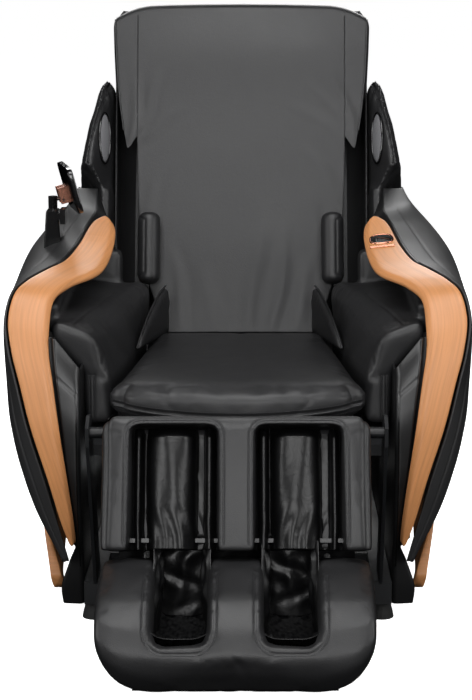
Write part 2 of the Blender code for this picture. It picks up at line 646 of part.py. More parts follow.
def grille(name, side, thick, deep, high):
    """Oval speaker, set in the wing's inner face."""
    bm = bmesh.new()
    bmesh.ops.create_uvsphere(bm, u_segments=20, v_segments=10, radius=1)
    bmesh.ops.scale(bm, vec=(thick, deep, high), verts=bm.verts)
    bmesh.ops.rotate(bm, cent=(0, 0, 0), matrix=Matrix.Rotation(math.radians(-20 * side), 3, "Z"), verts=bm.verts)
    return add(name, mesh_of(bm, "speaker"), MESH, RECLINE, (side * 0.2870, -0.065, 0.495))


def back_padding():
    """Overlay cover of the back, head cushion under its top, and a waist roll at each side."""
    half = [(0.150, 0.080), (0.196, 0.200), (0.211, 0.300), (0.213, 0.478), (0.240, 0.470), (0.254, 0.520),
            (0.262, 0.640), (0.272, 0.745), (0.258, 0.783), (0.150, 0.797), (0.0, 0.802)]
    outline = [*half, *[(-x, z) for x, z in reversed(half[:-1])]]
    rings = [[(x, y, z) for x, z in outline] for y in (-0.060, -0.020)]
    rounded(loft("back_pad", rings, LEATHER, RECLINE), 0.010, 2, 60)
    rounded(box("head_cushion", (-0.250, -0.0195, 0.560), (0.250, 0.0020, 0.784), LEATHER, RECLINE), 0.008, 2)
    for label, side in SIDES:
        roll = cylinder(f"waist_pad_{label}", 0.024, 0.150, (side * 0.190, -0.0860, 0.255), "Z", LEATHER, RECLINE,
                        16)
        rounded(roll, 0.014, 3, 60)


def massage_unit():
    """Carriage on the guide rails, with its motor, two kneading arms and four rollers."""
    carriage = box("carriage", (-0.194, 0.0640, 0.190), (0.194, 0.0700, 0.330), parent=RECLINE)
    pieces = [box(f"carriage_cheek_{k}", (x - 0.004, 0.0360, 0.235), (x + 0.004, 0.0650, 0.285), parent=RECLINE)
              for k, x in enumerate((-0.118, -0.030, 0.030, 0.118))]
    pieces.append(box("carriage_flange", (-0.150, 0.0690, 0.195), (0.150, 0.0760, 0.210), parent=RECLINE))
    join(carriage, *pieces)
    cut(carriage, cylinder("knead_bore", 0.0063, 0.400, (0, 0.0500, 0.260), parent=RECLINE))
    for x in (-0.074, 0.074):
        for z in (0.170, 0.286):
            cut(carriage, box(f"roller_notch_{x}_{z}", (x - 0.017, 0.0600, z), (x + 0.017, 0.0800, z + 0.064),
                              parent=RECLINE))
    motor = cylinder("massage_motor", 0.020, 0.110, (0.060, 0.0945, 0.270), "X", BRIGHT, RECLINE, 24)
    join(motor, box("gearbox", (-0.045, 0.0750, 0.242), (0.010, 0.1120, 0.298), BLACK, RECLINE))
    for label, side in SIDES:
        knead_arm(label, side)
        for place, z in (("upper", 0.315), ("lower", 0.205)):
            centre = (side * 0.074, ROLLER_Y, z)
            roller = cylinder(f"massage_roller_{place}_{label}", 0.023, 0.024, centre, "X", NYLON, RECLINE, 20)
            rounded(roller, 0.006, 2)
            cut(roller, cylinder(f"roller_bore_{place}_{label}", 0.0053, 0.040, centre, parent=RECLINE, sides=12))


def knead_arm(label, side):
    """Rocking arm on its own short shaft, with a pin for each of its two rollers."""
    outline = [(0.0600, 0.260), (0.0570, 0.271), (0.0440, 0.323), (0.0280, 0.323), (0.0280, 0.306), (0.0410, 0.266),
               (0.0410, 0.254), (0.0280, 0.214), (0.0280, 0.197), (0.0440, 0.197), (0.0570, 0.249)]
    x = span(side, 0.092, 0.100)
    arm = slab(f"knead_arm_{label}", outline, *x, BRIGHT, RECLINE)
    pins = [cylinder(f"roller_pin_{label}_{z}", 0.005, 0.030, (side * 0.080, ROLLER_Y, z), parent=RECLINE, sides=12)
            for z in (0.315, 0.205)]
    join(arm, *pins, cylinder(f"knead_shaft_{label}", 0.006, 0.094, (side * 0.074, 0.0500, 0.260),
                              parent=RECLINE, sides=16))


# ---------------------------------------------------------------- calf unit and foot unit

def calf_unit():
    """Tray that pivots at the seat's front, and its padding with a channel for each calf."""
    tray = box("calf_housing", (-CALF_X, -0.050, CALF_LOW), (CALF_X, 0.020, CALF_TOP), BLACK, LEG)
    hollow = box("calf_hollow", (-CALF_X + 0.008, -0.100, CALF_LOW + 0.008),
                 (CALF_X - 0.008, 0.012, CALF_TOP - 0.008), parent=LEG)
    pieces = []
    for label, side in SIDES:
        x = span(side, TUBE_X - 0.017, TUBE_X + 0.017)
        pieces.append(box(f"slide_guide_{label}", (x[0], 0.019, -0.190), (x[1], 0.048, -0.145), parent=LEG))
        middle = -ACTUATOR_X + 0.014 * side
        ear = [(0.016, -0.052), (0.030, -0.060), (0.036, -0.0705), (0.030, -0.081), (0.016, -0.089)]
        pieces.append(slab(f"leg_lug_{label}", ear, middle - 0.004, middle + 0.004, parent=LEG))
    pieces.append(cylinder("leg_lug_pin", 0.005, 0.030, (-ACTUATOR_X, *LEG_LUG), parent=LEG, sides=12))
    cut(tray, hollow)
    join(tray, *pieces)
    bores = [cylinder(f"slide_bore_{label}", 0.0093, 0.200, (side * TUBE_X, 0.033, -0.160), "Z", parent=LEG)
             for label, side in SIDES]
    cut(tray, *bores, cylinder("leg_bore", PIN_R + GAP, 0.600, (0, 0, 0), parent=LEG))

    inset = 0.0083
    pad = box("calf_pad", (-CALF_X + inset, -0.085, CALF_LOW + inset), (CALF_X - inset, 0.0117, CALF_TOP - inset),
              LEATHER, LEG, cuts=((2, -0.09),), shape=lambda x, y, z: (x, y - (0.006 if z == -0.09 and y < 0 else 0), z))
    for label, side in SIDES:
        x = span(side, CHANNEL_IN, CHANNEL_OUT)
        channel = box(f"calf_channel_{label}", (x[0], -0.200, CALF_LOW - 0.050), (x[1], -0.012, CALF_TOP - 0.020),
                      parent=LEG)
        cut(pad, rounded(channel, 0.018, 3))


FOOT_PROFILE = [(0.120, 0.0083), (0.142, 0.040), (0.128, 0.125), (0.085, 0.163), (0.020, 0.176), (-0.035, 0.166),
                (-0.090, 0.143), (-0.130, 0.108), (-0.150, 0.068), (-0.152, 0.040), (-0.135, 0.0083)]


def foot_section(x):
    """The foot unit's outline at X: it narrows towards its sides and rises at its lower corners."""
    edge = min(1.0, max(0.0, (abs(x) - 0.140) / (FOOT_X + 0.0005 - 0.140)))
    lift = 0.080 * (1 - math.sqrt(1 - edge ** 2))
    shrink = 1 - 0.16 * edge ** 6
    return [(x, y * shrink, lift + (z - 0.0083) * (0.1677 - lift * 1.15) / 0.1677 + 0.0083) for y, z in FOOT_PROFILE]


def foot_unit():
    """Foot tray on two slide tubes, and its padding with a boot for each foot."""
    tray = box("foot_housing", (-0.168, -0.118, 0.0), (0.168, 0.110, 0.008), BLACK, FOOT)
    pieces = []
    for label, side in SIDES:
        pieces.append(cylinder(f"slide_tube_{label}", 0.009, 0.335, (side * TUBE_X, 0.033, -0.2025), "Z", BRIGHT, LEG,
                               16))
        for x in (0.0340, 0.1480):
            pieces.append(box(f"roller_post_{label}_{x}", (side * x - 0.003, -0.010, 0.004),
                              (side * x + 0.003, 0.010, 0.038), BLACK, FOOT))
    join(tray, *pieces)
    cut(tray, cylinder("roller_axle_bore", 0.0043, 0.400, (0.0, 0.0, 0.028), parent=FOOT, sides=12))

    widths = [FOOT_X * u for u in (1.0, 0.985, 0.95, 0.89, 0.82, 0.72, 0.60, 0.0)]
    widths = [-x for x in widths[:-1]] + widths[::-1]
    pad = loft("foot_pad", [foot_section(x) for x in widths], LEATHER, FOOT)
    for label, side in SIDES:
        low, high = span(side, BOOT_IN, BOOT_OUT)
        boot = box(f"boot_{label}", (low, -0.122, 0.050), (high, 0.090, 0.300), parent=FOOT)
        mouth = box(f"boot_mouth_{label}", (low, -0.300, 0.082), (high, -0.060, 0.300), parent=FOOT)
        pocket = box(f"roller_pocket_{label}", (side * 0.091 - 0.062, -0.024, -0.010),
                     (side * 0.091 + 0.062, 0.024, 0.060), parent=FOOT)
        tube = cylinder(f"tube_bore_{label}", 0.0105, 0.400, (side * TUBE_X, 0.033, -0.2025), "Z", parent=LEG)
        cut(pad, rounded(boot, 0.022, 3), rounded(mouth, 0.022, 3), pocket, tube)
        roller = cylinder(f"foot_roller_{label}", 0.017, 0.100, (side * 0.091, 0.0, 0.028), "X", NYLON, FOOT, 20)
        rounded(roller, 0.004, 2)
        join(roller, cylinder(f"foot_axle_{label}", 0.004, 0.124, (side * 0.091, 0.0, 0.028), "X", BRIGHT, FOOT, 12))


# ---------------------------------------------------------------- actuators

def in_world(unit, y, z):
    """(y, z) of a point of a leaning unit, before Y_SHIFT."""
    origin = {"back": (RECLINE_Y, RECLINE_Z), "leg": (LEG_Y, LEG_Z)}[unit]
    return (origin[0] + y * math.cos(LEAN) + z * math.sin(LEAN),
            origin[1] - y * math.sin(LEAN) + z * math.cos(LEAN))


def actuator(name, x, anchor, lug, body_length, body_r, rod_r, start):
    """Motorised strut: body hinged at its anchor, rod sliding in it. The rod stops short of the lug's pin."""
    reach = Vector((lug[0] - anchor[0], lug[1] - anchor[1]))
    empty = axis_empty(f"{name}_axis", (x, *anchor), 0)
    empty.rotation_euler = (math.atan2(reach.y, reach.x), 0, 0)
    empty.parent = CHAIR_AXIS
    free = reach.length - 0.030
    body = cylinder(f"{name}_actuator", body_r, body_length - 0.032, (0, body_length / 2 + 0.016, 0), "Y", BLACK,
                    empty, 20)
    eye = box(f"{name}_eye", (-0.012, -0.012, -0.010), (0.012, 0.040, 0.010), parent=empty)
    motor = cylinder(f"{name}_motor", body_r * 0.95, 0.075, (0, 0.060, -body_r * 1.6), "Y", BLACK, empty, 20)
    web = box(f"{name}_web", (-0.010, 0.040, -body_r * 1.5), (0.010, 0.090, 0.0), parent=empty)
    join(body, eye, motor, web)
    bore = cylinder(f"{name}_bore", rod_r + GAP, body_length, (0, body_length / 2 + 0.050, 0), "Y", parent=empty)
    pivot = cylinder(f"{name}_pivot", 0.0053, 0.060, (0, 0, 0), "X", parent=empty, sides=12)
    cut(body, bore, pivot)
    rod = cylinder(f"{name}_rod", rod_r, free - start, (0, (free + start) / 2, 0), "Y", BRIGHT, empty, 16)
    return body, rod


# ---------------------------------------------------------------- build

base_frame()
levelling_feet()
transport_wheels()
electrics()
rear_cover()
side_shells()
wooden_arms()
wood_sweeps()
inner_panels()
arm_pads()
seat()
arm_controls()
tablet_stand()
back_frame()
back_shell()
wings()
back_padding()
massage_unit()
calf_unit()
foot_unit()
actuator("recline", ACTUATOR_X, RECLINE_ANCHOR, in_world("back", *RECLINE_LUG), 0.330, 0.022, 0.010, 0.125)
actuator("leg", -ACTUATOR_X, LEG_ANCHOR, in_world("leg", *LEG_LUG), 0.200, 0.020, 0.009, 0.060)
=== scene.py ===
"""Full-body massage chair: upholstery, bent beech, shells and trim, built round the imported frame.

Metres, +Z up, the sitter faces -Y, left is +X. Run as a script: main() calls one operator for each group of
pieces, then the stage. Every soft CAD solid is replaced by a padded piece of the same size in the same place.
"""

import math

import bmesh
import bpy
import numpy as np
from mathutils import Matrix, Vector
from mathutils.bvhtree import BVHTree


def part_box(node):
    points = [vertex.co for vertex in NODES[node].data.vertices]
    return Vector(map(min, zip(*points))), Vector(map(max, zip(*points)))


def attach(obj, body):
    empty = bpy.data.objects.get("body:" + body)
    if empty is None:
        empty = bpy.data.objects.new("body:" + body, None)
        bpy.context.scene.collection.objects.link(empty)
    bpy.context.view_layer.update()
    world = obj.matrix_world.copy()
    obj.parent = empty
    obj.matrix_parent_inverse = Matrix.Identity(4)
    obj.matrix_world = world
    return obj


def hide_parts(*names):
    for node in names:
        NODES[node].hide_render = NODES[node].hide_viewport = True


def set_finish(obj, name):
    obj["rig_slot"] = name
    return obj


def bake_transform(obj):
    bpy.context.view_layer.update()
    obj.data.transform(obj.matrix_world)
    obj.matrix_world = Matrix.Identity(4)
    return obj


bl_info = {
    "name": "Massage chair looks",
    "version": (1, 0, 0),
    "blender": (4, 5, 0),
    "location": "3D View > Sidebar > Chair",
    "description": "Builds the upholstery, wood, shells and trim of a massage chair round its packed frame",
    "category": "Object",
}

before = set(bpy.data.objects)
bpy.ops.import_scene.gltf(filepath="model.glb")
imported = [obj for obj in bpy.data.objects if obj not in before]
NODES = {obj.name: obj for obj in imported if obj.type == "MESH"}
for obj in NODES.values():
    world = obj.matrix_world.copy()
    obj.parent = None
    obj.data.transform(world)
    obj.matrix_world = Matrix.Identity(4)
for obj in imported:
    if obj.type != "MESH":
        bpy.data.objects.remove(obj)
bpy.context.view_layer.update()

MM = 0.001
LEAN = math.radians(20)
SIN, COS = math.sin(LEAN), math.cos(LEAN)
BACK_AT, LEG_AT = (0.312, 0.330), (-0.343, 0.372)   # pivots of the backrest and of the calf unit, as (y, z)
CHAIR_Y = 0.112                    # the shells' and arms' stations are given about the chair's own datum
SIDES = (("left", 1), ("right", -1))


# ---------------------------------------------------------------- surfaces

def leaned(at, x, y, z):
    """World points of a unit that leans back: its y and z axes turned by LEAN about X, from its pivot."""
    x, y, z = np.broadcast_arrays(x, y, z)
    return np.stack([x, at[0] + y * COS + z * SIN, at[1] - y * SIN + z * COS], -1)


def through(points, count):
    """A Catmull-Rom curve through the rows of points, read at count even steps of row number."""
    p = np.asarray(points, float)
    p = np.concatenate([p[:1] * 2 - p[1:2], p, p[-1:] * 2 - p[-2:-1]])
    place = np.linspace(0, len(p) - 3, count)
    k = np.minimum(place.astype(int), len(p) - 4)
    t = (place - k).reshape(-1, *[1] * (p.ndim - 1))
    a, b, c, d = p[k], p[k + 1], p[k + 2], p[k + 3]
    return 0.5 * (2 * b + (c - a) * t + (2 * a - 5 * b + 4 * c - d) * t ** 2 + (3 * b - a - 3 * c + d) * t ** 3)


def read(table, at):
    """A smooth reading of a (place, value) table: straight-line knots, eased by averaging near neighbours."""
    x, v = np.array(table, float).T
    step = (x[-1] - x[0]) / 60
    return sum(np.interp(at + k * step, x, v) for k in (-2, -1, 0, 1, 2)) / 5


def quads(rows, columns, wrap=False):
    """Corner numbers of a grid's four-sided faces. With wrap, the last column meets the first."""
    i, j = np.meshgrid(np.arange(rows - 1), np.arange(columns if wrap else columns - 1), indexing="ij")
    n = (j + 1) % columns
    return np.stack([i * columns + j, i * columns + n, (i + 1) * columns + n, (i + 1) * columns + j], -1).reshape(-1, 4)


def piece(name, points, faces, material, body, outward=None, uv=None):
    """A mesh object from numpy arrays. A closed one is turned to face out by the sign of its volume, and an
    open one by the direction that most of it should face."""
    points, faces = np.asarray(points, float).reshape(-1, 3), np.asarray(faces)
    mesh = bpy.data.meshes.new(name)
    mesh.from_pydata(points.tolist(), [], faces.tolist())
    if uv is not None:
        layer = mesh.uv_layers.new(name="along")
        loops = np.empty(len(mesh.loops), np.int64)
        mesh.loops.foreach_get("vertex_index", loops)
        layer.data.foreach_set("uv", np.asarray(uv, float).reshape(-1, 2)[loops].ravel())
    bm = bmesh.new()
    bm.from_mesh(mesh)
    bmesh.ops.remove_doubles(bm, verts=bm.verts, dist=1e-6)
    bmesh.ops.recalc_face_normals(bm, faces=bm.faces)
    if outward is None:
        wrong = bm.calc_volume(signed=True) < 0
    else:
        wrong = sum(f.normal.dot(Vector(outward)) * f.calc_area() for f in bm.faces) < 0
    if wrong:
        bmesh.ops.reverse_faces(bm, faces=bm.faces)
    bm.to_mesh(mesh)
    bm.free()
    mesh.shade_smooth()
    made = bpy.data.objects.new(name, mesh)
    bpy.context.scene.collection.objects.link(made)
    mesh.materials.append(material)
    if body:
        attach(made, body)
    return made


def modifier(made, kind, **settings):
    """Adds a modifier with its settings."""
    added = made.modifiers.new(kind.lower(), kind)
    for key, value in settings.items():
        setattr(added, key, value)
    return added


def walled(made, thickness, even=True):
    """A wall grown inwards from the surface."""
    modifier(made, "SOLIDIFY", thickness=thickness, offset=-1, use_even_offset=even)


def slimmed(name, node, body, finish, scale, slot):
    """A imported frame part's own shape, drawn in a little about its middle so that its cushion covers its rim."""
    bm = bmesh.new()
    bm.from_mesh(NODES[node].data)
    bmesh.ops.remove_doubles(bm, verts=bm.verts, dist=1e-5)
    bmesh.ops.recalc_face_normals(bm, faces=bm.faces)
    mesh = bpy.data.meshes.new(name)
    bm.to_mesh(mesh)
    bm.free()
    made = bpy.data.objects.new(name, mesh)
    bpy.context.scene.collection.objects.link(made)
    co = coordinates(made)
    middle = (co.max(0) + co.min(0)) / 2
    set_coordinates(made, middle + (co - middle) * scale)
    mesh.materials.append(finish)
    modifier(made, "BEVEL", width=0.0015, segments=2, limit_method="ANGLE")
    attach(made, body)
    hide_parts(node)
    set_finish(made, slot)
    return made


def closed_loft(name, rings, material, body, uv=None):
    """A closed skin over rings of points, each end drawn in to a pole at the ring's own middle."""
    rings = np.asarray(rings, float)
    ends = [np.repeat(r.mean(0)[None, None], rings.shape[1], 1) for r in (rings[0], rings[-1])]
    grid = np.concatenate([ends[0], rings, ends[1]])
    if uv is not None:
        uv = np.concatenate([uv[:1], uv, uv[-1:]])
    return piece(name, grid, quads(len(grid), grid.shape[1], True), material, body, uv=uv)


def tube(name, path, radius, material, body, sides=8):
    """A round cord along a path: at each point a circle in the plane across the path's direction."""
    path = np.asarray(path, float)
    ahead = np.gradient(path, axis=0)
    ahead /= np.linalg.norm(ahead, axis=1)[:, None] + 1e-12
    spread = path.max(0) - path.min(0)
    aside = np.cross(ahead, np.eye(3)[int(spread.argmin())] + (0.13, 0.07, 0.11))
    aside /= np.linalg.norm(aside, axis=1)[:, None] + 1e-12
    over = np.cross(ahead, aside)
    a = np.linspace(0, 2 * math.pi, sides, endpoint=False)
    rings = path[:, None] + radius * (np.cos(a)[:, None] * aside[:, None] + np.sin(a)[:, None] * over[:, None])
    return closed_loft(name, rings, material, body)


def coordinates(made):
    """A piece's points, one row each."""
    co = np.empty(len(made.data.vertices) * 3)
    made.data.vertices.foreach_get("co", co)
    return co.reshape(-1, 3)


def normals(made):
    """The outward direction at each of a piece's points."""
    n = np.empty(len(made.data.vertices) * 3)
    made.data.vertices.foreach_get("normal", n)
    return n.reshape(-1, 3)


def set_coordinates(made, co):
    """Moves a piece's points."""
    made.data.vertices.foreach_set("co", np.asarray(co, float).ravel())
    made.data.update()


def settle(made):
    """Replaces a piece's mesh by what its modifiers make of it."""
    graph = bpy.context.evaluated_depsgraph_get()
    mesh = bpy.data.meshes.new_from_object(made.evaluated_get(graph))
    made.modifiers.clear()
    made.data = mesh
    mesh.shade_smooth()


def stuffed(name, nodes, body, material, voxel, eased, cap, shape=None):
    """Padding: the CAD solids as one skin, its edges eased, and then blown up as cloth under pressure.

    Each point moves by cap * (1 - exp(-distance / cap)) along its simulated way, so none passes cap."""
    bm = bmesh.new()
    for node in nodes:
        bm.from_mesh(NODES[node].data)
    bmesh.ops.remove_doubles(bm, verts=bm.verts, dist=1e-5)
    mesh = bpy.data.meshes.new(name)
    bm.to_mesh(mesh)
    bm.free()
    made = bpy.data.objects.new(name, mesh)
    bpy.context.scene.collection.objects.link(made)
    modifier(made, "REMESH", mode="VOXEL", voxel_size=voxel)
    modifier(made, "SMOOTH", factor=0.5, iterations=eased)
    settle(made)
    blow_up(made, cap)
    modifier(made, "SUBSURF", levels=1, render_levels=1)
    settle(made)
    if shape:
        set_coordinates(made, shape(coordinates(made)))
    made.data.materials.clear()
    made.data.materials.append(material)
    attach(made, body)
    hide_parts(*nodes)
    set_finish(made, "leather")
    return made


def blow_up(made, cap):
    """Twenty frames of cloth with air pressure inside and no gravity."""
    before = coordinates(made)
    cloth = modifier(made, "CLOTH")
    cloth.settings.quality = 4
    cloth.settings.use_pressure = True
    cloth.settings.uniform_pressure_force = 4
    cloth.settings.tension_stiffness = 12
    cloth.settings.bending_stiffness = 1.5
    cloth.settings.effector_weights.gravity = 0
    cloth.collision_settings.use_collision = False
    cloth.collision_settings.use_self_collision = False
    cloth.point_cache.frame_end = 20
    scene = bpy.context.scene
    for step in range(1, 21):
        scene.frame_set(step)
    settle(made)
    scene.frame_set(1)
    way = coordinates(made) - before
    far = np.linalg.norm(way, axis=1)[:, None] + 1e-9
    set_coordinates(made, before + way / far * cap * (1 - np.exp(-far / cap)))


def mirrored(source, name, body, nodes):
    """The sitter's right-hand copy of a left-hand piece."""
    mesh = source.data.copy()
    mesh.name = name
    made = bpy.data.objects.new(name, mesh)
    bpy.context.scene.collection.objects.link(made)
    set_coordinates(made, coordinates(made) * (-1, 1, 1))
    mesh.flip_normals()
    for old in source.modifiers:
        copied = made.modifiers.new(old.name, old.type)
        for key in ("thickness", "offset", "use_even_offset", "width", "segments", "levels", "render_levels"):
            if hasattr(old, key):
                setattr(copied, key, getattr(old, key))
    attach(made, body)
    if nodes:
        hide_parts(*nodes)
    if "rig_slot" in source:
        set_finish(made, source["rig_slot"])
    return made


def on_skin(made, points, direction, lift=0.0):
    """Points cast along a direction on to a piece's skin. A point that misses is left out."""
    tree = BVHTree.FromPolygons([v.co for v in made.data.vertices], [p.vertices for p in made.data.polygons])
    way = Vector(direction).normalized()
    hits = []
    for p in np.asarray(points, float):
        at, normal, _, _ = tree.ray_cast(Vector(p) - way * 0.4, way)
        if at is not None:
            hits.append(at + normal * lift if normal.dot(way) < 0 else at - normal * lift)
    return np.array(hits)


def unbroken(path):
    """The longest stretch of a cast path with no jump in it."""
    steps = np.linalg.norm(np.diff(path, axis=0), axis=1)
    breaks = np.flatnonzero(steps > 4 * np.median(steps) + 1e-6)
    ends = np.concatenate([[-1], breaks, [len(path) - 1]])
    k = int(np.argmax(np.diff(ends)))
    return path[ends[k] + 1:ends[k + 1] + 1]


def rounded_off(p, one, other, reach, r):
    """Turns a square corner beyond reach - r on two axes into a quarter circle of radius r."""
    u, v = np.abs(p[:, one]) - (reach[0] - r), (p[:, other] - reach[1]) * reach[2] + r
    both = (u > 0) & (v > 0)
    share = np.where(both, np.maximum(u, v) / np.maximum(np.hypot(u, v), 1e-9), 1.0)
    q = p.copy()
    q[:, one] = np.where(both, np.sign(p[:, one]) * (reach[0] - r + u * share), p[:, one])
    q[:, other] = np.where(both, reach[1] + (v * share - r) * reach[2], p[:, other])
    return q


def upright(at, p):
    """World points read in a leaning unit's own axes."""
    y, z = p[:, 1] - at[0], p[:, 2] - at[1]
    return np.stack([p[:, 0], y * COS - z * SIN, y * SIN + z * COS], -1)


def evenly(path, step):
    """The path read again at even steps of its own length."""
    path = np.asarray(path, float)
    run = np.concatenate([[0], np.cumsum(np.linalg.norm(np.diff(path, axis=0), axis=1))])
    at = np.linspace(0, run[-1], max(4, int(run[-1] / step)))
    return np.stack([np.interp(at, run, path[:, k]) for k in range(3)], -1)


def pressed(made, path, depth, width):
    """Draws a skin in along a seam: each point goes back along its normal by depth * exp(-(distance / width)^2)."""
    co, n = coordinates(made), normals(made)
    path = evenly(path, width * 0.7)
    low, high = path.min(0) - 3 * width, path.max(0) + 3 * width
    near = np.flatnonzero(((co > low) & (co < high)).all(1))
    far = np.full(len(near), 1e9)
    for part in np.array_split(np.arange(len(near)), max(1, len(near) // 3000)):
        if len(part):
            far[part] = np.linalg.norm(co[near[part], None] - path[None], axis=2).min(1)
    co[near] -= n[near] * (depth * np.exp(-(far / width) ** 2))[:, None]
    set_coordinates(made, co)


def stitched(name, path, body, material, thick=0.45 * MM):
    """A row of thread stitches: on each pitch of the path, a six-sided bar that sinks at both ends."""
    sizes = bpy.context.scene.chair_sizes
    length = sizes.stitch_length
    path = evenly(path, sizes.stitch_pitch)
    ahead = np.gradient(path, axis=0)
    ahead /= np.linalg.norm(ahead, axis=1)[:, None] + 1e-12
    aside = np.cross(ahead, (0.31, -0.93, 0.17))
    aside /= np.linalg.norm(aside, axis=1)[:, None] + 1e-12
    over = np.cross(ahead, aside)
    a = np.linspace(0, 2 * math.pi, 6, endpoint=False)
    along, size = np.array([-0.5, -0.3, 0.3, 0.5]), np.array([0.25, 1.0, 1.0, 0.25])
    ring = np.cos(a)[:, None] * aside[:, None, None] + np.sin(a)[:, None] * over[:, None, None]
    grid = path[:, None, None] + along[:, None, None] * length * ahead[:, None, None]
    grid = grid + ring * (size * thick)[:, None, None]
    one = quads(4, 6, True)
    faces = (one[None] + (np.arange(len(path)) * 24)[:, None, None]).reshape(-1, 4)
    mesh = bpy.data.meshes.new(name)
    caps = [[b + k for k in ends] for b in range(0, len(path) * 24, 24) for ends in (range(5, -1, -1), range(18, 24))]
    mesh.from_pydata(grid.reshape(-1, 3).tolist(), [], faces.tolist() + caps)
    bm = bmesh.new()
    bm.from_mesh(mesh)
    bmesh.ops.recalc_face_normals(bm, faces=bm.faces)
    bm.to_mesh(mesh)
    bm.free()
    made = bpy.data.objects.new(name, mesh)
    bpy.context.scene.collection.objects.link(made)
    mesh.materials.append(material)
    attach(made, body)
    return made


# ---------------------------------------------------------------- finishes

def linear(code):
    """An sRGB hex colour as linear numbers with alpha."""
    channels = [int(code[k:k + 2], 16) / 255 for k in (1, 3, 5)]
    return (*[c / 12.92 if c <= 0.04045 else ((c + 0.055) / 1.055) ** 2.4 for c in channels], 1.0)


def shade(colour, by=1.0):
    """A hex code or a colour property as linear numbers with alpha, lightened or darkened by a factor."""
    found = linear(colour) if isinstance(colour, str) else (*colour, 1.0)
    return (*[min(1.0, c * by) for c in found[:3]], 1.0)


def node(tree, kind, values=None, links=None, **settings):
    """Adds a node. values fills its input sockets, and links joins them to other nodes' outputs."""
    made = tree.nodes.new("ShaderNode" + kind)
    for key, value in settings.items():
        setattr(made, key, value)
    for key, value in (values or {}).items():
        made.inputs[key].default_value = value
    for key, output in (links or {}).items():
        tree.links.new(output, made.inputs[key])
    return made


def material(name, colour, roughness, **sockets):
    """A Principled material, and its tree and shader."""
    made = bpy.data.materials.new(name)
    made.use_nodes = True
    shader = made.node_tree.nodes["Principled BSDF"]
    shader.inputs["Base Color"].default_value = shade(colour)
    shader.inputs["Roughness"].default_value = roughness
    for key, value in sockets.items():
        shader.inputs[key.replace("_", " ")].default_value = value
    return made, made.node_tree, shader


def ramp(tree, factor, stops):
    """A colour that runs through the stops, each a place with a grey or a colour, as the factor rises."""
    made = node(tree, "ValToRGB", links={"Fac": factor})
    elements = made.color_ramp.elements
    while len(elements) < len(stops):
        elements.new(0.5)
    for element, (place, colour) in zip(elements, stops):
        element.position = place
        element.color = (colour, colour, colour, 1) if isinstance(colour, float) else shade(colour)
    return made.outputs["Color"]


def object_space(tree, scale=(1, 1, 1)):
    """A piece's own coordinates in metres, stretched by the scale."""
    where = node(tree, "TexCoord").outputs["Object"]
    return node(tree, "Mapping", {"Scale": scale}, {"Vector": where}).outputs["Vector"]


def bumped(tree, shader, *heights):
    """Chains a Bump node for each (height output, distance in metres, strength) on to the shader's normal."""
    last = None
    for height, distance, strength in heights:
        links = {"Height": height}
        if last:
            links["Normal"] = last
        last = node(tree, "Bump", {"Distance": distance, "Strength": strength}, links).outputs["Normal"]
    tree.links.new(last, shader.inputs["Normal"])


def leather_finish(name, colour, worn, roughness, pore_mm, crease):
    """Polyurethane leather, embossed on a calendered film: fine pores, shallow creases that run into each
    other, and a sheen that is a little duller where hands have rubbed it. Pores are really 0.6 mm."""
    made, tree, shader = material(name, colour, roughness, IOR=1.48)
    where = object_space(tree)
    pores = node(tree, "TexVoronoi", {"Scale": 1 / (pore_mm * MM)}, {"Vector": where}).outputs["Distance"]
    creases = node(tree, "TexNoise", {"Scale": 150.0, "Detail": 4.0, "Distortion": 0.6}, {"Vector": where})
    broad = node(tree, "TexNoise", {"Scale": 9.0, "Detail": 3.0}, {"Vector": where}).outputs["Fac"]
    tone = ramp(tree, broad, [(0.30, colour[:3]), (0.72, shade(colour, worn)[:3])])
    tree.links.new(tone, shader.inputs["Base Color"])
    gloss = node(tree, "MapRange", {"From Min": 0.3, "From Max": 0.7, "To Min": roughness - 0.035,
                                    "To Max": roughness + 0.05}, {"Value": broad})
    tree.links.new(gloss.outputs["Result"], shader.inputs["Roughness"])
    bumped(tree, shader, (broad, 0.004, crease), (creases.outputs["Fac"], 0.0006, 0.30), (pores, 0.0004, 0.35))
    return made


def liner_finish():
    """Coated nylon lining, thin and glossy: small crumples that catch the light, and a faint plain weave."""
    made, tree, shader = material("coated_nylon", "#080809", 0.38, IOR=1.45)
    where = object_space(tree)
    crumple = node(tree, "TexNoise", {"Scale": 38.0, "Detail": 3.0, "Distortion": 1.6}, {"Vector": where})
    threads = node(tree, "TexVoronoi", {"Scale": 900.0, "Randomness": 0.1}, {"Vector": where}).outputs["Distance"]
    bumped(tree, shader, (crumple.outputs["Fac"], 0.004, 0.25), (threads, 0.0002, 0.25))
    return made


def moulded_finish(name, colour, roughness, grain_mm, depth, coat=0.0):
    """Moulded ABS: a spark-eroded tool leaves a fine even grain, and flow leaves slow changes of gloss."""
    made, tree, shader = material(name, colour, roughness, IOR=1.53, Coat_Weight=coat, Coat_Roughness=0.18)
    where = object_space(tree)
    grain = node(tree, "TexNoise", {"Scale": 1 / (grain_mm * MM), "Detail": 2.0}, {"Vector": where}).outputs["Fac"]
    flow = node(tree, "TexNoise", {"Scale": 5.0, "Detail": 2.0}, {"Vector": where}).outputs["Fac"]
    gloss = node(tree, "MapRange", {"From Min": 0.35, "From Max": 0.65, "To Min": roughness - 0.03,
                                    "To Max": roughness + 0.04}, {"Value": flow})
    tree.links.new(gloss.outputs["Result"], shader.inputs["Roughness"])
    bumped(tree, shader, (grain, 0.0003, depth))
    return made


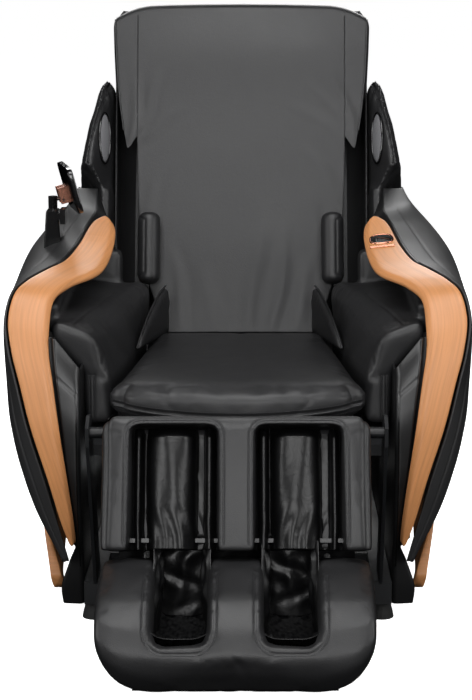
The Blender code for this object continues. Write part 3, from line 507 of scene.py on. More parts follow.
def beech_finish(colour):
    """Steamed beech, bent, sanded and lacquered satin: growth lines along the bend about 5 mm apart, and the
    short dark ray flecks of beech, 2 mm long and 0.4 mm wide. UV is in metres along and across the grain."""
    made, tree, shader = material("lacquered_beech", colour, 0.50, IOR=1.5, Coat_Weight=0.12,
                                  Coat_Roughness=0.35)
    along = node(tree, "UVMap", uv_map="along").outputs["UV"]
    stretched = node(tree, "Mapping", {"Scale": (5.0, 190.0, 1.0)}, {"Vector": along}).outputs["Vector"]
    lines = node(tree, "TexNoise", {"Scale": 1.0, "Detail": 5.0, "Roughness": 0.6, "Distortion": 0.35},
                 {"Vector": stretched}).outputs["Fac"]
    fleck_space = node(tree, "Mapping", {"Scale": (260.0, 1500.0, 1.0)}, {"Vector": along}).outputs["Vector"]
    flecks = node(tree, "TexVoronoi", {"Scale": 1.0, "Randomness": 1.0}, {"Vector": fleck_space}).outputs["Distance"]
    broad = node(tree, "TexNoise", {"Scale": 7.0, "Detail": 2.0}, {"Vector": along}).outputs["Fac"]
    tone = ramp(tree, lines, [(0.28, shade(colour, 0.80)[:3]), (0.50, colour[:3]), (0.75, shade(colour, 1.16)[:3])])
    mark = ramp(tree, flecks, [(0.05, 0.5), (0.22, 0.0)])
    flecked = node(tree, "MixRGB", {"Color2": shade(colour, 0.72)}, {"Fac": mark, "Color1": tone})
    patches = ramp(tree, broad, [(0.35, 0.0), (0.8, 0.35)])
    washed = node(tree, "MixRGB", {"Color2": shade(colour, 0.84)}, {"Fac": patches, "Color1": flecked.outputs["Color"]})
    tree.links.new(washed.outputs["Color"], shader.inputs["Base Color"])
    bumped(tree, shader, (lines, 0.0004, 0.12), (flecks, 0.0002, 0.10))
    return made


def metal_finish(name, colour, roughness, brushed):
    """Plated or painted metal: brushing draws its gloss out in fine parallel lines."""
    made, tree, shader = material(name, colour, roughness, Metallic=1.0)
    where = object_space(tree, (1, 1, 14))
    lines = node(tree, "TexNoise", {"Scale": 420.0, "Detail": 3.0}, {"Vector": where}).outputs["Fac"]
    gloss = node(tree, "MapRange", {"To Min": roughness - brushed, "To Max": roughness + brushed}, {"Value": lines})
    tree.links.new(gloss.outputs["Result"], shader.inputs["Roughness"])
    bumped(tree, shader, (lines, 0.0001, 0.15))
    return made


def painted_finish(name, colour, roughness, orange_peel_mm):
    """Powder coat, nylon or rubber: one colour under a soft orange-peel surface, greyer where dust sits."""
    made, tree, shader = material(name, colour, roughness)
    where = object_space(tree)
    peel = node(tree, "TexNoise", {"Scale": 1 / (orange_peel_mm * MM), "Detail": 2.0}, {"Vector": where})
    dust = node(tree, "TexNoise", {"Scale": 14.0, "Detail": 4.0}, {"Vector": where}).outputs["Fac"]
    gloss = node(tree, "MapRange", {"To Min": roughness - 0.06, "To Max": roughness + 0.08}, {"Value": dust})
    tree.links.new(gloss.outputs["Result"], shader.inputs["Roughness"])
    bumped(tree, shader, (peel.outputs["Fac"], 0.0006, 0.25))
    return made


def grille_finish():
    """Acoustic cloth stretched on an oval: a knit of round holes about 2 mm apart."""
    made, tree, shader = material("speaker_cloth", "#6b6b6c", 0.7)
    where = object_space(tree)
    holes = node(tree, "TexVoronoi", {"Scale": 480.0, "Randomness": 0.0}, {"Vector": where}).outputs["Distance"]
    tree.links.new(ramp(tree, holes, [(0.20, "#2c2c2d"), (0.42, "#77777a")]), shader.inputs["Base Color"])
    bumped(tree, shader, (holes, 0.0006, 0.5))
    return made


def finishes():
    """Every finish, by the name that the pieces use."""
    colours = bpy.context.scene.chair_colours
    return {
        "leather": leather_finish("black_leather", colours.leather, 1.5, 0.43, 1.3, 0.10),
        "cover": leather_finish("cover_leather", colours.cover, 1.5, 0.47, 1.1, 0.16),
        "welt": leather_finish("welt_leather", colours.leather, 2.0, 0.36, 1.0, 0.02),
        "liner": liner_finish(),
        "shell": moulded_finish("satin_abs", colours.shell, 0.56, 0.9, 0.10),
        "panel": moulded_finish("black_abs", "#111112", 0.38, 0.8, 0.15),
        "gloss": moulded_finish("gloss_abs", "#0d0d0e", 0.16, 0.8, 0.03, 0.5),
        "beech": beech_finish(colours.beech),
        "rose": metal_finish("rose_gold_plate", colours.rose_gold, 0.24, 0.06),
        "steel": painted_finish("black_powder_coat", "#17181a", 0.48, 1.8),
        "zinc": metal_finish("zinc_plate", "#a9abad", 0.34, 0.10),
        "rubber": painted_finish("black_rubber", "#141414", 0.78, 1.2),
        "nylon": painted_finish("cream_nylon", "#cfc7ae", 0.42, 2.5),
        "grille": grille_finish(),
        "thread": painted_finish("polyester_thread", colours.thread, 0.6, 0.7),
        "glass": moulded_finish("screen_glass", "#060607", 0.06, 1.0, 0.0, 1.0),
    }


FINISH = {}

CAD_FINISH = {
    "steel": ("base_frame", "back_frame", "carriage", "seat_pan"),
    "zinc": ("knead_arm_left", "knead_arm_right", "massage_motor", "air_pump", "recline_rod", "leg_rod"),
    "rubber": ("foot_front_left", "foot_front_right", "foot_rear_left", "foot_rear_right", "wheel_left",
               "wheel_right"),
    "nylon": ("massage_roller_upper_left", "massage_roller_upper_right", "massage_roller_lower_left",
              "massage_roller_lower_right", "foot_roller_left", "foot_roller_right"),
    "rose": ("tablet_bracket",),
    "gloss": ("tablet_knuckle", "tablet_post", "control_rocker", "power_switch"),
    "panel": ("rear_cover", "control_box", "mains_inlet", "calf_housing", "foot_housing", "recline_actuator",
              "leg_actuator"),
}


def dress_frame():
    """Gives each CAD node that stays its finish."""
    for finish, names in CAD_FINISH.items():
        for name in names:
            mesh = NODES[name].data
            mesh.materials.clear()
            mesh.materials.append(FINISH[finish])


# ---------------------------------------------------------------- backrest

COVER_LOW, COVER_TOP, NOTCH = 0.082, 0.797, 0.500
LOWER_HALF = [(0.08, 0.150), (0.13, 0.172), (0.20, 0.197), (0.30, 0.213), (0.42, 0.217), (0.50, 0.219), (0.80, 0.221)]
HEAD_HALF = [(0.47, 0.2440), (0.52, 0.2475), (0.56, 0.2535), (0.63, 0.2610), (0.72, 0.2655), (0.80, 0.2680)]
# Folds of the cover, in the backrest's own X and height: from, to, half-width and height of each.
FOLDS = [(-0.236, 0.490, -0.216, 0.640, 0.011, 0.0042), (-0.226, 0.505, -0.170, 0.640, 0.010, 0.0030),
         (-0.216, 0.500, -0.120, 0.560, 0.012, 0.0018), (0.240, 0.500, 0.196, 0.650, 0.010, 0.0040),
         (0.232, 0.500, 0.150, 0.625, 0.011, 0.0032), (0.222, 0.490, 0.105, 0.575, 0.013, 0.0020),
         (0.205, 0.380, 0.130, 0.480, 0.014, 0.0022), (-0.205, 0.330, -0.160, 0.440, 0.012, 0.0015),
         (0.020, 0.100, 0.040, 0.330, 0.015, 0.0030), (0.066, 0.095, 0.100, 0.300, 0.012, 0.0032),
         (-0.060, 0.095, -0.075, 0.230, 0.016, 0.0022), (-0.115, 0.095, -0.150, 0.270, 0.012, 0.0026),
         (0.110, 0.100, 0.160, 0.260, 0.013, 0.0024), (0.180, 0.270, 0.120, 0.400, 0.014, 0.0018)]


def folds_at(x, z):
    """Sum of the folds: each is height * exp(-(distance / width)^2), fading out towards both ends."""
    lift = np.zeros_like(x)
    for x0, z0, x1, z1, width, height in FOLDS:
        dx, dz = x1 - x0, z1 - z0
        long = dx * dx + dz * dz
        t = ((x - x0) * dx + (z - z0) * dz) / long
        off = ((x - x0) * dz - (z - z0) * dx) / math.sqrt(long) + 0.006 * np.sin(5 * t + 40 * x0)
        fade = np.clip(t + 0.15, 0, 1) ** 0.5 * np.clip(1.12 - t, 0, 1) ** 1.2
        ridge = np.exp(-(off / width) ** 2) - 0.55 * np.exp(-((off - 1.7 * width) / width) ** 2)
        lift += height * ridge * fade
    return lift


def cover_front(x, z):
    """Depth of the cover's face: the pad's face, crowned across, fuller at the loins and at the head."""
    across = 1 - (x / 0.23) ** 2
    crown = 0.004 * across + 0.006 * np.exp(-((z - 0.24) / 0.10) ** 2) * across
    head = 0.007 * np.exp(-((z - 0.70) / 0.09) ** 2) * (1 - (x / 0.28) ** 4)
    return -0.0555 - crown - head - folds_at(x, z)


def shouldered(x, z):
    """Height after the cover's top edge falls away towards its corners."""
    edge = np.clip((np.abs(x) - 0.185) / 0.083, 0, 1)
    return z - (0.024 * edge ** 2 + 0.005 * (x / 0.27) ** 2) * np.clip((z - 0.60) / 0.175, 0, 1) ** 1.5


# The way over the top: share of it, then how far back and up from the top of the face.
OVER = [(0.0, 0.0, 0.0), (0.1, 0.0012, 0.0085), (0.22, 0.0062, 0.0160), (0.36, 0.0150, 0.0212),
        (0.52, 0.0300, 0.0255), (0.72, 0.0635, 0.0290), (0.88, 0.0995, 0.0258), (1.0, 0.1220, 0.0130)]


def cover_part(x_of, low_of, columns):
    """World points of one part of the cover: rows up the face and over the top, columns across."""
    up = np.concatenate([np.linspace(0, 1, 230), 1 + np.linspace(0, 1, 34)[1:]])
    share, back, rise = through(OVER, 300).T
    u = np.linspace(0, 1, columns)[None]
    v = up[:, None] * np.ones_like(u)
    z = low_of(u) + (COVER_TOP - 0.022 - low_of(u)) * np.clip(v, 0, 1)
    x = x_of(u, z)
    over = np.clip(v - 1, 0, 1)
    y = cover_front(x, z) + np.interp(over, share, back)
    return leaned(BACK_AT, x, y, shouldered(x, z) + np.interp(over, share, rise))


def back_cover():
    """One sheet of leather over the pad and over the top, in three parts that share their edges: the middle,
    and a flap at each side of the head that ends below in a point and turns back as a gusset."""
    leather = FINISH["cover"]
    parts = [cover_part(lambda u, z: (2 * u - 1) * read(LOWER_HALF, z), lambda u: COVER_LOW + 0 * u, 150)]
    for side in (-1, 1):
        def strip_x(u, z, side=side):
            inner, outer = read(LOWER_HALF, z), read(HEAD_HALF, z)
            return side * (inner + (outer - inner) * u)

        def strip_low(u):
            point = 0.024 * np.sin(np.clip(u / 0.80, 0, 1) * math.pi / 2) ** 1.5
            return NOTCH - point + 0.040 * np.clip((u - 0.80) / 0.20, 0, 1) ** 1.3
        parts.append(cover_part(strip_x, strip_low, 26))
    faces, base = [], 0
    for p in parts:
        faces.append(quads(*p.shape[:2]) + base)
        base += p.shape[0] * p.shape[1]
    points = np.concatenate([p.reshape(-1, 3) for p in parts])
    cover = piece("back_cover", points, np.concatenate(faces), leather, "back", outward=(0, -1, 0.3))
    walled(cover, 0.0035)
    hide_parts("back_pad")
    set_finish(cover, "leather")

    z = np.linspace(NOTCH + 0.014, COVER_TOP - 0.010, 120)
    for label, side in SIDES:
        edge = read(HEAD_HALF, z)
        front = cover_front(side * edge, z)
        deep = np.linspace(0, 1, 9)[None]
        x = edge[:, None] + 0.0085 * deep ** 0.7 * np.clip((z[:, None] - 0.48) / 0.15, 0, 1)
        y = front[:, None] + 0.001 + 0.052 * deep
        high = shouldered(x, z[:, None]) + 0.003 * np.sin(deep * 3.0)
        gusset = piece(f"head_gusset_{label}", leaned(BACK_AT, side * x, y, high), quads(len(z), 9), leather, "back",
                       outward=(side, 0, 0))
        walled(gusset, 0.002)
        path = leaned(BACK_AT, side * (edge + 0.0006), front - 0.0012, shouldered(edge, z))
        tube(f"head_welt_{label}", path, 0.0017, FINISH["welt"], "back")
    backing()


def backing():
    """The foam behind the cover, from the seat to the head, rounded at each side."""
    z = np.linspace(COVER_LOW + 0.004, COVER_TOP - 0.024, 90)
    a = np.linspace(0, 2 * math.pi, 48, endpoint=False)
    half = read(LOWER_HALF, z)[:, None] - 0.005
    round_x = np.sign(np.cos(a)) * np.abs(np.cos(a)) ** 0.16
    round_y = np.sign(np.sin(a)) * np.abs(np.sin(a)) ** 0.45
    rings = leaned(BACK_AT, half * round_x, -0.036 + 0.0145 * round_y, z[:, None])
    made = closed_loft("back_foam", rings, FINISH["leather"], "back")
    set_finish(made, "leather")


def head_cushion():
    """Pillow under the top of the cover."""
    stuffed("head_pillow", ["head_cushion"], "back", FINISH["cover"], 0.007, 6, 0.002)


def wings():
    """Shoulder bolsters: an outer band and an inner band with a sewn channel between them."""
    def shape(p):
        own = upright(BACK_AT, p)
        t = np.clip((own[:, 2] - 0.40) / 0.23, 0, 1)
        packed = 0.0705 - 0.062 * t ** 1.7
        wanted = np.interp(t, [0, 0.07, 0.24, 0.55, 0.68, 0.85, 0.95, 1],
                           [0.068, 0.0665, 0.0585, 0.047, 0.0390, 0.0305, 0.0220, 0.0110])
        own[:, 0] = 0.2725 + (own[:, 0] - 0.2725) * np.where(own[:, 2] > 0.39, wanted / packed, 1)
        return leaned(BACK_AT, own[:, 0], own[:, 1], own[:, 2])

    wing = stuffed("wing_cover_left", ["wing_left"], "back", FINISH["leather"], 0.0045, 5, 0.003, shape)
    t = np.linspace(0.0, 1.0, 90)
    for inset, name in ((0.60, "inner"), (0.86, "outer")):
        z = 0.41 + 0.212 * t
        wide = 0.0705 - 0.062 * t ** 1.7
        points = leaned(BACK_AT, 0.2725 + inset * wide, -0.25 + 0 * z, z + 0.02 * (1 - t) ** 2)
        path = on_skin(wing, points, (0, COS, -SIN), 0.0)
        if len(path) > 20:
            pressed(wing, path, 0.0028, 0.0035)
            if name == "inner":
                lifted = on_skin(wing, points, (0, COS, -SIN), 0.0006)
                tube("wing_welt_left", lifted, 0.0013, FINISH["welt"], "back")
    mirrored(wing, "wing_cover_right", "back", ["wing_right"])
    welt = bpy.data.objects.get("wing_welt_left")
    if welt:
        mirrored(welt, "wing_welt_right", "back", [])
    speakers()


def speakers():
    """Oval speaker: a domed cloth front, height * sqrt(1 - r^2), inside a rounded rim."""
    low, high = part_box("speaker_left")
    centre = (Vector(low) + Vector(high)) / 2
    a, r = np.meshgrid(np.linspace(0, 2 * math.pi, 64, endpoint=False), np.linspace(0, 1, 16), indexing="ij")
    angle = math.radians(-20)
    for label, side in SIDES:
        across, up = 0.025 * r * np.cos(a), 0.053 * r * np.sin(a)
        out = 0.0058 * np.sqrt(np.clip(1 - r ** 2, 0, 1))
        x = -out * math.cos(angle) + across * math.sin(angle)
        y = out * math.sin(angle) + across * math.cos(angle)
        grid = np.stack([side * (centre.x + x), centre.y + y * COS + up * SIN, centre.z - y * SIN + up * COS], -1)
        made = piece(f"speaker_cloth_{label}", grid.transpose(1, 0, 2), quads(16, 64, True), FINISH["grille"], "back",
                     outward=(-side, -0.3, 0))
        walled(made, 0.0015)
        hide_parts(f"speaker_{label}")
        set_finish(made, "speaker_cloth")
        b = np.linspace(0, 2 * math.pi, 97)
        ring = np.stack([0.0265 * np.cos(b) * math.sin(angle), 0.0265 * np.cos(b) * math.cos(angle),
                         0.0545 * np.sin(b)], -1)
        path = np.stack([side * (centre.x + ring[:, 0] - 0.001), centre.y + ring[:, 1] * COS + ring[:, 2] * SIN,
                         centre.z - ring[:, 1] * SIN + ring[:, 2] * COS], -1)
        tube(f"speaker_rim_{label}", path, 0.0022, FINISH["gloss"], "back")


def waist_pads():
    """Round-ended rolls, each with an oval seam pressed into its inner face."""
    pad = stuffed("waist_roll_left", ["waist_pad_left"], "back", FINISH["leather"], 0.004, 10, 0.005)
    low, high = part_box("waist_pad_left")
    a = np.linspace(0, 2 * math.pi, 80)
    middle = [(low[k] + high[k]) / 2 for k in range(3)]
    ring = np.stack([middle[0] + 0 * a, middle[1] + 0.040 * np.cos(a) * COS + 0.066 * np.sin(a) * SIN,
                     middle[2] - 0.040 * np.cos(a) * SIN + 0.066 * np.sin(a) * COS], -1)
    path = on_skin(pad, ring, (-1, 0, 0), 0.0)
    if len(path) > 10:
        pressed(pad, path, 0.0015, 0.003)
    mirrored(pad, "waist_roll_right", "back", ["waist_pad_right"])


def back_shell():
    """Moulded rear cover: at each height a rounded half-oval, |sin|^0.55 wide and |cos|^0.42 deep, over the top."""
    depths = [(0.045, 0.100), (0.110, 0.128), (0.250, 0.138), (0.420, 0.136), (0.580, 0.122), (0.700, 0.100),
              (0.765, 0.078), (0.785, 0.056), (0.794, 0.036), (0.799, 0.004)]
    halves = [(0.045, 0.2595), (0.300, 0.268), (0.600, 0.270), (0.765, 0.270), (0.785, 0.265), (0.799, 0.255)]
    z = np.concatenate([np.linspace(0.046, 0.76, 90), np.linspace(0.762, 0.7985, 24)])[:, None]
    depth = np.interp(z, *np.array(depths).T)
    half = np.interp(z, *np.array(halves).T)
    a = np.radians(np.linspace(-90, 90, 97))[None]
    x = half * np.sign(a) * np.minimum(1, np.abs(np.sin(a)) ** 0.55)
    y = depth * np.abs(np.cos(a)) ** 0.42 + 0.004
    groove = np.exp(-((z - 0.62) / 0.003) ** 2) + np.exp(-((z - 0.20) / 0.003) ** 2)
    y = y - 0.0022 * groove * np.abs(np.cos(a))
    made = piece("back_shell_cover", leaned(BACK_AT, x, y, z), quads(len(z), 97), FINISH["shell"], "back",
                 outward=(0, 1, 0))
    walled(made, 0.0038)
    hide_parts("back_shell")
    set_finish(made, "shell_plastic")
    place = np.linspace(-0.085, 0.085, 30)
    for k in range(7):
        high = 0.330 + 0.016 * k
        proud = np.interp(high, *np.array(depths).T) + 0.0046
        tube(f"back_vent_{k}", leaned(BACK_AT, place, proud, high), 0.0022, FINISH["panel"], "back")


# ---------------------------------------------------------------- shells and wood

ARM = np.array([
    (0.280, 0.050, 0.687, 0.252, 0.048, 0.686), (0.294, 0.012, 0.673, 0.2425, 0.005, 0.666),
    (0.308, -0.060, 0.648, 0.2430, -0.060, 0.642), (0.327, -0.140, 0.629, 0.2500, -0.132, 0.623),
    (0.354, -0.198, 0.621, 0.2640, -0.186, 0.614), (0.383, -0.262, 0.611, 0.304, -0.245, 0.604),
    (0.402, -0.306, 0.594, 0.330, -0.296, 0.585), (0.4110, -0.336, 0.550, 0.3370, -0.334, 0.542),
    (0.4040, -0.358, 0.497, 0.3370, -0.360, 0.495), (0.3885, -0.374, 0.4376, 0.3290, -0.380, 0.4376),
    (0.3688, -0.388, 0.3616, 0.3188, -0.394, 0.3616), (0.3414, -0.393, 0.274, 0.3066, -0.398, 0.274),
    (0.3200, -0.386, 0.194, 0.2975, -0.390, 0.194), (0.3030, -0.375, 0.141, 0.2950, -0.377, 0.141)])
ARM[:, (1, 4)] += CHAIR_Y
SHOULDER = [(0.100, 0.312), (0.150, 0.338), (0.190, 0.360), (0.232, 0.378), (0.300, 0.402), (0.371, 0.4200),
            (0.465, 0.430), (0.520, 0.4350), (0.565, 0.4340), (0.604, 0.427), (0.641, 0.402), (0.677, 0.366),
            (0.705, 0.342), (0.728, 0.330)]


def side_shells():
    """Outer shell between its rim, along the wooden arm, and its far edge, an arc about the recline pivot and
    then a rising line. Across it, width comes in from the shoulder line as (1 - v / 0.3)^2.2 towards the rim."""
    rim = [(0.2930, 0.195 + CHAIR_Y, 0.724), (0.2885, 0.120 + CHAIR_Y, 0.704), (0.2870, 0.062 + CHAIR_Y, 0.694)]
    for k, s in enumerate(ARM[1:], 1):
        rim.append((s[0] + 0.0070, s[1] + (0.004 if k > 6 else 0.0), s[2] - (0.001 if k < 7 else 0.0)))
    rim[-1] = (0.3060, -0.371 + CHAIR_Y, 0.112)
    a = np.radians(86 - 12 * np.arange(6))
    arc = np.stack([0.312 + 0.395 * np.cos(a), 0.330 + 0.395 * np.sin(a)], -1)
    low = [(0.632, 0.425), (0.512, 0.362), (0.362, 0.312), (0.212, 0.268), (0.062, 0.226), (-0.068, 0.185),
           (-0.168, 0.145), (-0.240, 0.104)]
    rows = 170
    rim, far = through(rim, rows), through(np.concatenate([arc, low]), rows)
    u = np.linspace(0, 1, rows)
    v = np.concatenate([np.linspace(0, 0.16, 30), np.linspace(0.16, 1, 50)[1:]])[None]
    far_x = 0.340 + 0.045 * np.clip((u - 0.36) / 0.2, 0, 1)
    y = rim[:, 1:2] + (far[:, :1] - rim[:, 1:2]) * v
    z = rim[:, 2:] + (far[:, 1:] - rim[:, 2:]) * v
    full = read(SHOULDER, z)
    front = full - (full - rim[:, :1]) * np.clip(1 - v / 0.30, 0, 1) ** 2.2
    rear = full - np.maximum(0, full - far_x[:, None]) * np.clip((v - 0.30) / 0.70, 0, 1) ** 3
    x = np.where(v < 0.30, front, rear)
    groove = np.exp(-((v - 0.075) / 0.006) ** 2) * np.clip((u[:, None] - 0.05) / 0.1, 0, 1)
    x = x - 0.0022 * groove
    y = y + 0.0015 * groove
    shell = piece("shell_left", np.stack([x, y, z], -1), quads(rows, v.shape[1]), FINISH["shell"], "base",
                  outward=(1, 0, 0))
    walled(shell, bpy.context.scene.chair_sizes.shell_thickness)
    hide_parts("side_shell_left")
    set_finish(shell, "shell_plastic")
    mirrored(shell, "shell_right", "base", ["side_shell_right"])
    lip = rim[:60, None] + np.linspace(0, 1, 8)[None, :, None] * np.array([-0.024, 0.004, -0.022])
    lip[:, :, 0] += (0.018 * np.linspace(0, 1, 8)[None] * np.clip(1 - np.arange(60)[:, None] / 18, 0, 1))
    lining = piece("shoulder_lining_left", lip, quads(60, 8), FINISH["panel"], "base", outward=(-0.4, -1, 0.6))
    walled(lining, 0.0016, even=False)
    mirrored(lining, "shoulder_lining_right", "base", [])


def wooden_arms():
    """Bent beech carried along the arm's two edges. Its section is a slab 15 mm thick with rounded corners and a
    wide bevel on the inner edge, and its rear end is drawn to a round tip, width times sqrt(1 - (1 - t)^2)."""
    rows, wood = 240, bpy.context.scene.chair_sizes.beech_thickness
    line = through(ARM, rows)
    outer, inner = line[:, :3], line[:, 3:]
    middle = (outer + inner) / 2
    ahead = np.gradient(middle, axis=0)
    across = inner - outer
    width = np.linalg.norm(across, axis=1)[:, None]
    across = across / width
    down = np.cross(ahead, across)
    down /= np.linalg.norm(down, axis=1)[:, None]
    run = np.concatenate([[0], np.cumsum(np.linalg.norm(np.diff(middle, axis=0), axis=1))])[:, None]
    tip = np.sqrt(np.clip(1 - (1 - np.clip(run / 0.024, 0, 1)) ** 2, 0.0004, 1))
    end = np.sqrt(np.clip(1 - (1 - np.clip((run[-1] - run) / 0.010, 0, 1)) ** 2, 0.04, 1))
    width = width * tip * end
    bevel = np.minimum(0.0105, width * 0.22)
    r = np.minimum(0.0028, width * 0.1)
    zero = np.zeros_like(width)
    creases = sum(np.exp(-((run - at) / 0.0011) ** 2) for at in (0.079, 0.107)) * 0.0007
    top = zero + creases
    section = [(zero, 0.5 * wood + zero), (zero, 1.6 * r), (0.3 * r, 0.5 * r), (1.2 * r, 0.08 * r), (2.5 * r, top),
               (0.25 * width, top), (0.5 * width, top), (0.70 * width, top), (width - bevel - r, top),
               (width - bevel, 0.0003 + top), (width - bevel + r, 0.0014 + top), (width - 0.35 * bevel, 0.0042 + zero),
               (width - 0.5 * r, 0.0062 + zero), (width, 0.0080 + zero), (width, wood - r), (width - r, wood + zero),
               (0.5 * width, wood + zero), (r, wood + zero), (zero, wood - r)]
    start = middle - across * width / 2
    rings = np.stack([start + across * a + down * b for a, b in section], 1)
    uv = np.stack([np.concatenate([run + 0.0, a + 0.4 * b + 0 * run], 1) for a, b in section], 1)
    for label, side in SIDES:
        arm = closed_loft(f"beech_arm_{label}", rings * (side, 1, 1), FINISH["beech"], "base",
                          uv=uv + (0.37 * side, 0.05 * side))
        modifier(arm, "SUBSURF", levels=1, render_levels=1)
        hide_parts(f"wood_arm_{label}")
        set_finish(arm, "bent_beech")


def wood_sweeps():
    """Leaf of beech between a lower and an upper curve, 12 mm thick, leaning out as it rises."""
    low = through([(-0.138, 0.022), (0.012, 0.042), (0.212, 0.108), (0.412, 0.208), (0.612, 0.405)], 120)
    high = through([(-0.1495, 0.050), (-0.088, 0.150), (0.052, 0.202), (0.212, 0.248), (0.412, 0.312),
                    (0.620, 0.411)], 120)
    t = np.array([0.0, 0.02, 0.06, 0.14, 0.3, 0.5, 0.7, 0.86, 0.94, 0.98, 1.0])
    face = low[:, None] + (high - low)[:, None] * t[None, :, None]
    out = np.minimum(0.372, 0.347 + 0.200 * (face[..., 1] - 0.020))
    soft = 0.003 * (1 - np.sin(np.pi * np.clip(t, 0.0, 1.0)) ** 0.25)
    thick = 0.012 + 0.010 * np.exp(-(np.linspace(0, 1, 120)[:, None] / 0.10) ** 2)
    near = np.stack([out - soft, face[..., 0], face[..., 1]], -1)
    rear = np.stack([out - thick + soft, face[..., 0], face[..., 1]], -1)[:, ::-1]
    rings = np.concatenate([near, rear], 1)
    run = np.concatenate([[0], np.cumsum(np.linalg.norm(np.diff(face[:, 5], axis=0), axis=1))])
    wide = np.linalg.norm(high - low, axis=1)
    both = np.concatenate([t, 1.2 - t[::-1] * 0.2 + 0.0])
    uv = np.stack([np.broadcast_to(run[:, None], rings.shape[:2]), both[None] * wide[:, None]], -1)
    for label, side in SIDES:
        sweep = closed_loft(f"beech_sweep_{label}", rings * (side, 1, 1), FINISH["beech"], "base",
                            uv=uv + (0.9 * side, 0.31))
        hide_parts(f"wood_sweep_{label}")
        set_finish(sweep, "bent_beech")


PANEL = [(0.020, -0.226, 0.3200), (0.050, -0.230, 0.3260), (0.118, -0.234, 0.3020), (0.130, -0.243, 0.2940),
         (0.150, -0.258, 0.2905), (0.194, -0.269, 0.2950), (0.274, -0.276, 0.3045), (0.3616, -0.271, 0.3165),
         (0.420, -0.260, 0.3265), (0.4620, -0.240, 0.3320)]


def inner_panels():
    """Side housing: from its outer edge round the front to the inner face and back, at each height."""
    table = np.array(PANEL)
    z = np.concatenate([np.linspace(0.0205, 0.42, 110), np.linspace(0.422, 0.462, 20)])
    front = read(table[:, :2], z)[:, None]
    outer = read(table[:, (0, 2)], z)[:, None]
    rear = (0.512 - 0.60 * np.maximum(0, z - 0.120))[:, None]
    inner = 0.2806
    a = np.linspace(0, math.pi / 2, 12)[None]
    r = np.minimum(0.010, (outer - inner) * 0.55)
    flange = np.array([1.0, 0.66, 0.33, 0.05, 0.0, 0.0]) * np.clip((z - 0.128) / 0.02, 0, 1)[:, None] * 0.021
    edge_x = outer + flange
    edge_y = front + np.array([0.0205, 0.0200, 0.0195, 0.0190, 0.0180, 0.0070])[None]
    face_x = outer - 0.003 - (outer - 0.003 - inner - r) * np.linspace(0, 1, 10)[None]
    face_y = front + 0.003 - 0.003 * np.linspace(0, 1, 10)[None] + 0 * outer
    turn_x, turn_y = inner + r - r * np.sin(a), front + r - r * np.cos(a)
    side_y = front + r + (rear - front - r) * np.linspace(0, 1, 40)[None, 1:] ** 1.4
    x = np.concatenate([edge_x, face_x, turn_x[:, 1:], inner + 0 * side_y], 1)
    y = np.concatenate([edge_y, face_y, turn_y[:, 1:], side_y], 1)
    rise = np.minimum(np.maximum(0, x - 0.2806) * 1.25, 0.056) * np.clip((z[:, None] - 0.30) / 0.16, 0, 1)
    groove = np.exp(-((z[:, None] - 0.413) / 0.0022) ** 2)
    y = y + 0.0014 * groove * (x < 0.40)
    made = piece("side_housing_left", np.stack([x, y, z[:, None] + rise], -1), quads(len(z), x.shape[1]),
                 FINISH["panel"], "base", outward=(-1, -0.4, 0))
    walled(made, 0.0036)
    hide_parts("inner_panel_left")
    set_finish(made, "shell_plastic")
    mirrored(made, "side_housing_right", "base", ["inner_panel_right"])
    path = np.stack([0.2875 + 0 * z[20:-14], front[20:-14, 0] - 0.0002, z[20:-14]], -1)
    strip = tube("housing_trim_left", path, 0.0012, FINISH["gloss"], "base")
    mirrored(strip, "housing_trim_right", "base", [])


# ---------------------------------------------------------------- seat, arm cushions, controls

def seat():
    """Seat cushion, round in front, with a welt between two pressed seams and a row of stitches beside each."""
    def shape(p):
        p = rounded_off(p, 0, 1, (0.2400, -0.3060, -1), 0.060)
        out = np.abs(p[:, 0]) / 0.2358
        ahead = np.clip((-0.12 - p[:, 1]) / 0.18, 0, 1)
        edge = (0.25 + 0.75 * np.clip(out, 0, 1) ** 1.8) * np.clip((-0.16 - p[:, 1]) / 0.12, 0, 1)
        low = np.clip((0.420 - p[:, 2]) / 0.070, 0, 1)
        return p + np.stack([0 * low, 0.034 * out ** 3 * ahead, 0.050 * edge * low], -1)

    pad = stuffed("seat_pad", ["seat_cushion"], "base", FINISH["leather"], 0.0060, 7, 0.009, shape)
    slimmed("seat_tray", "seat_pan", "base", FINISH["steel"], (0.84, 0.92, 1.0), "painted_steel")
    x = np.linspace(-0.222, 0.222, 160)
    for high in (0.389, 0.381):
        points = np.stack([x, 0 * x - 0.3, high + 0.014 * (x / 0.222) ** 2], -1)
        path = on_skin(pad, points, (0, 1, 0))
        pressed(pad, path, 0.0020, 0.0030)
    points = np.stack([x, 0 * x - 0.3, 0.385 + 0.014 * (x / 0.222) ** 2], -1)
    tube("seat_welt", evenly(on_skin(pad, points, (0, 1, 0), 0.0008), 0.004),
         bpy.context.scene.chair_sizes.welt_radius, FINISH["welt"], "base")
    for name, high in (("over", 0.395), ("under", 0.375)):
        points = np.stack([x, 0 * x - 0.3, high + 0.014 * (x / 0.222) ** 2], -1)
        stitched(f"seat_stitch_{name}", on_skin(pad, points, (0, 1, 0), 0.0001), "base", FINISH["thread"])


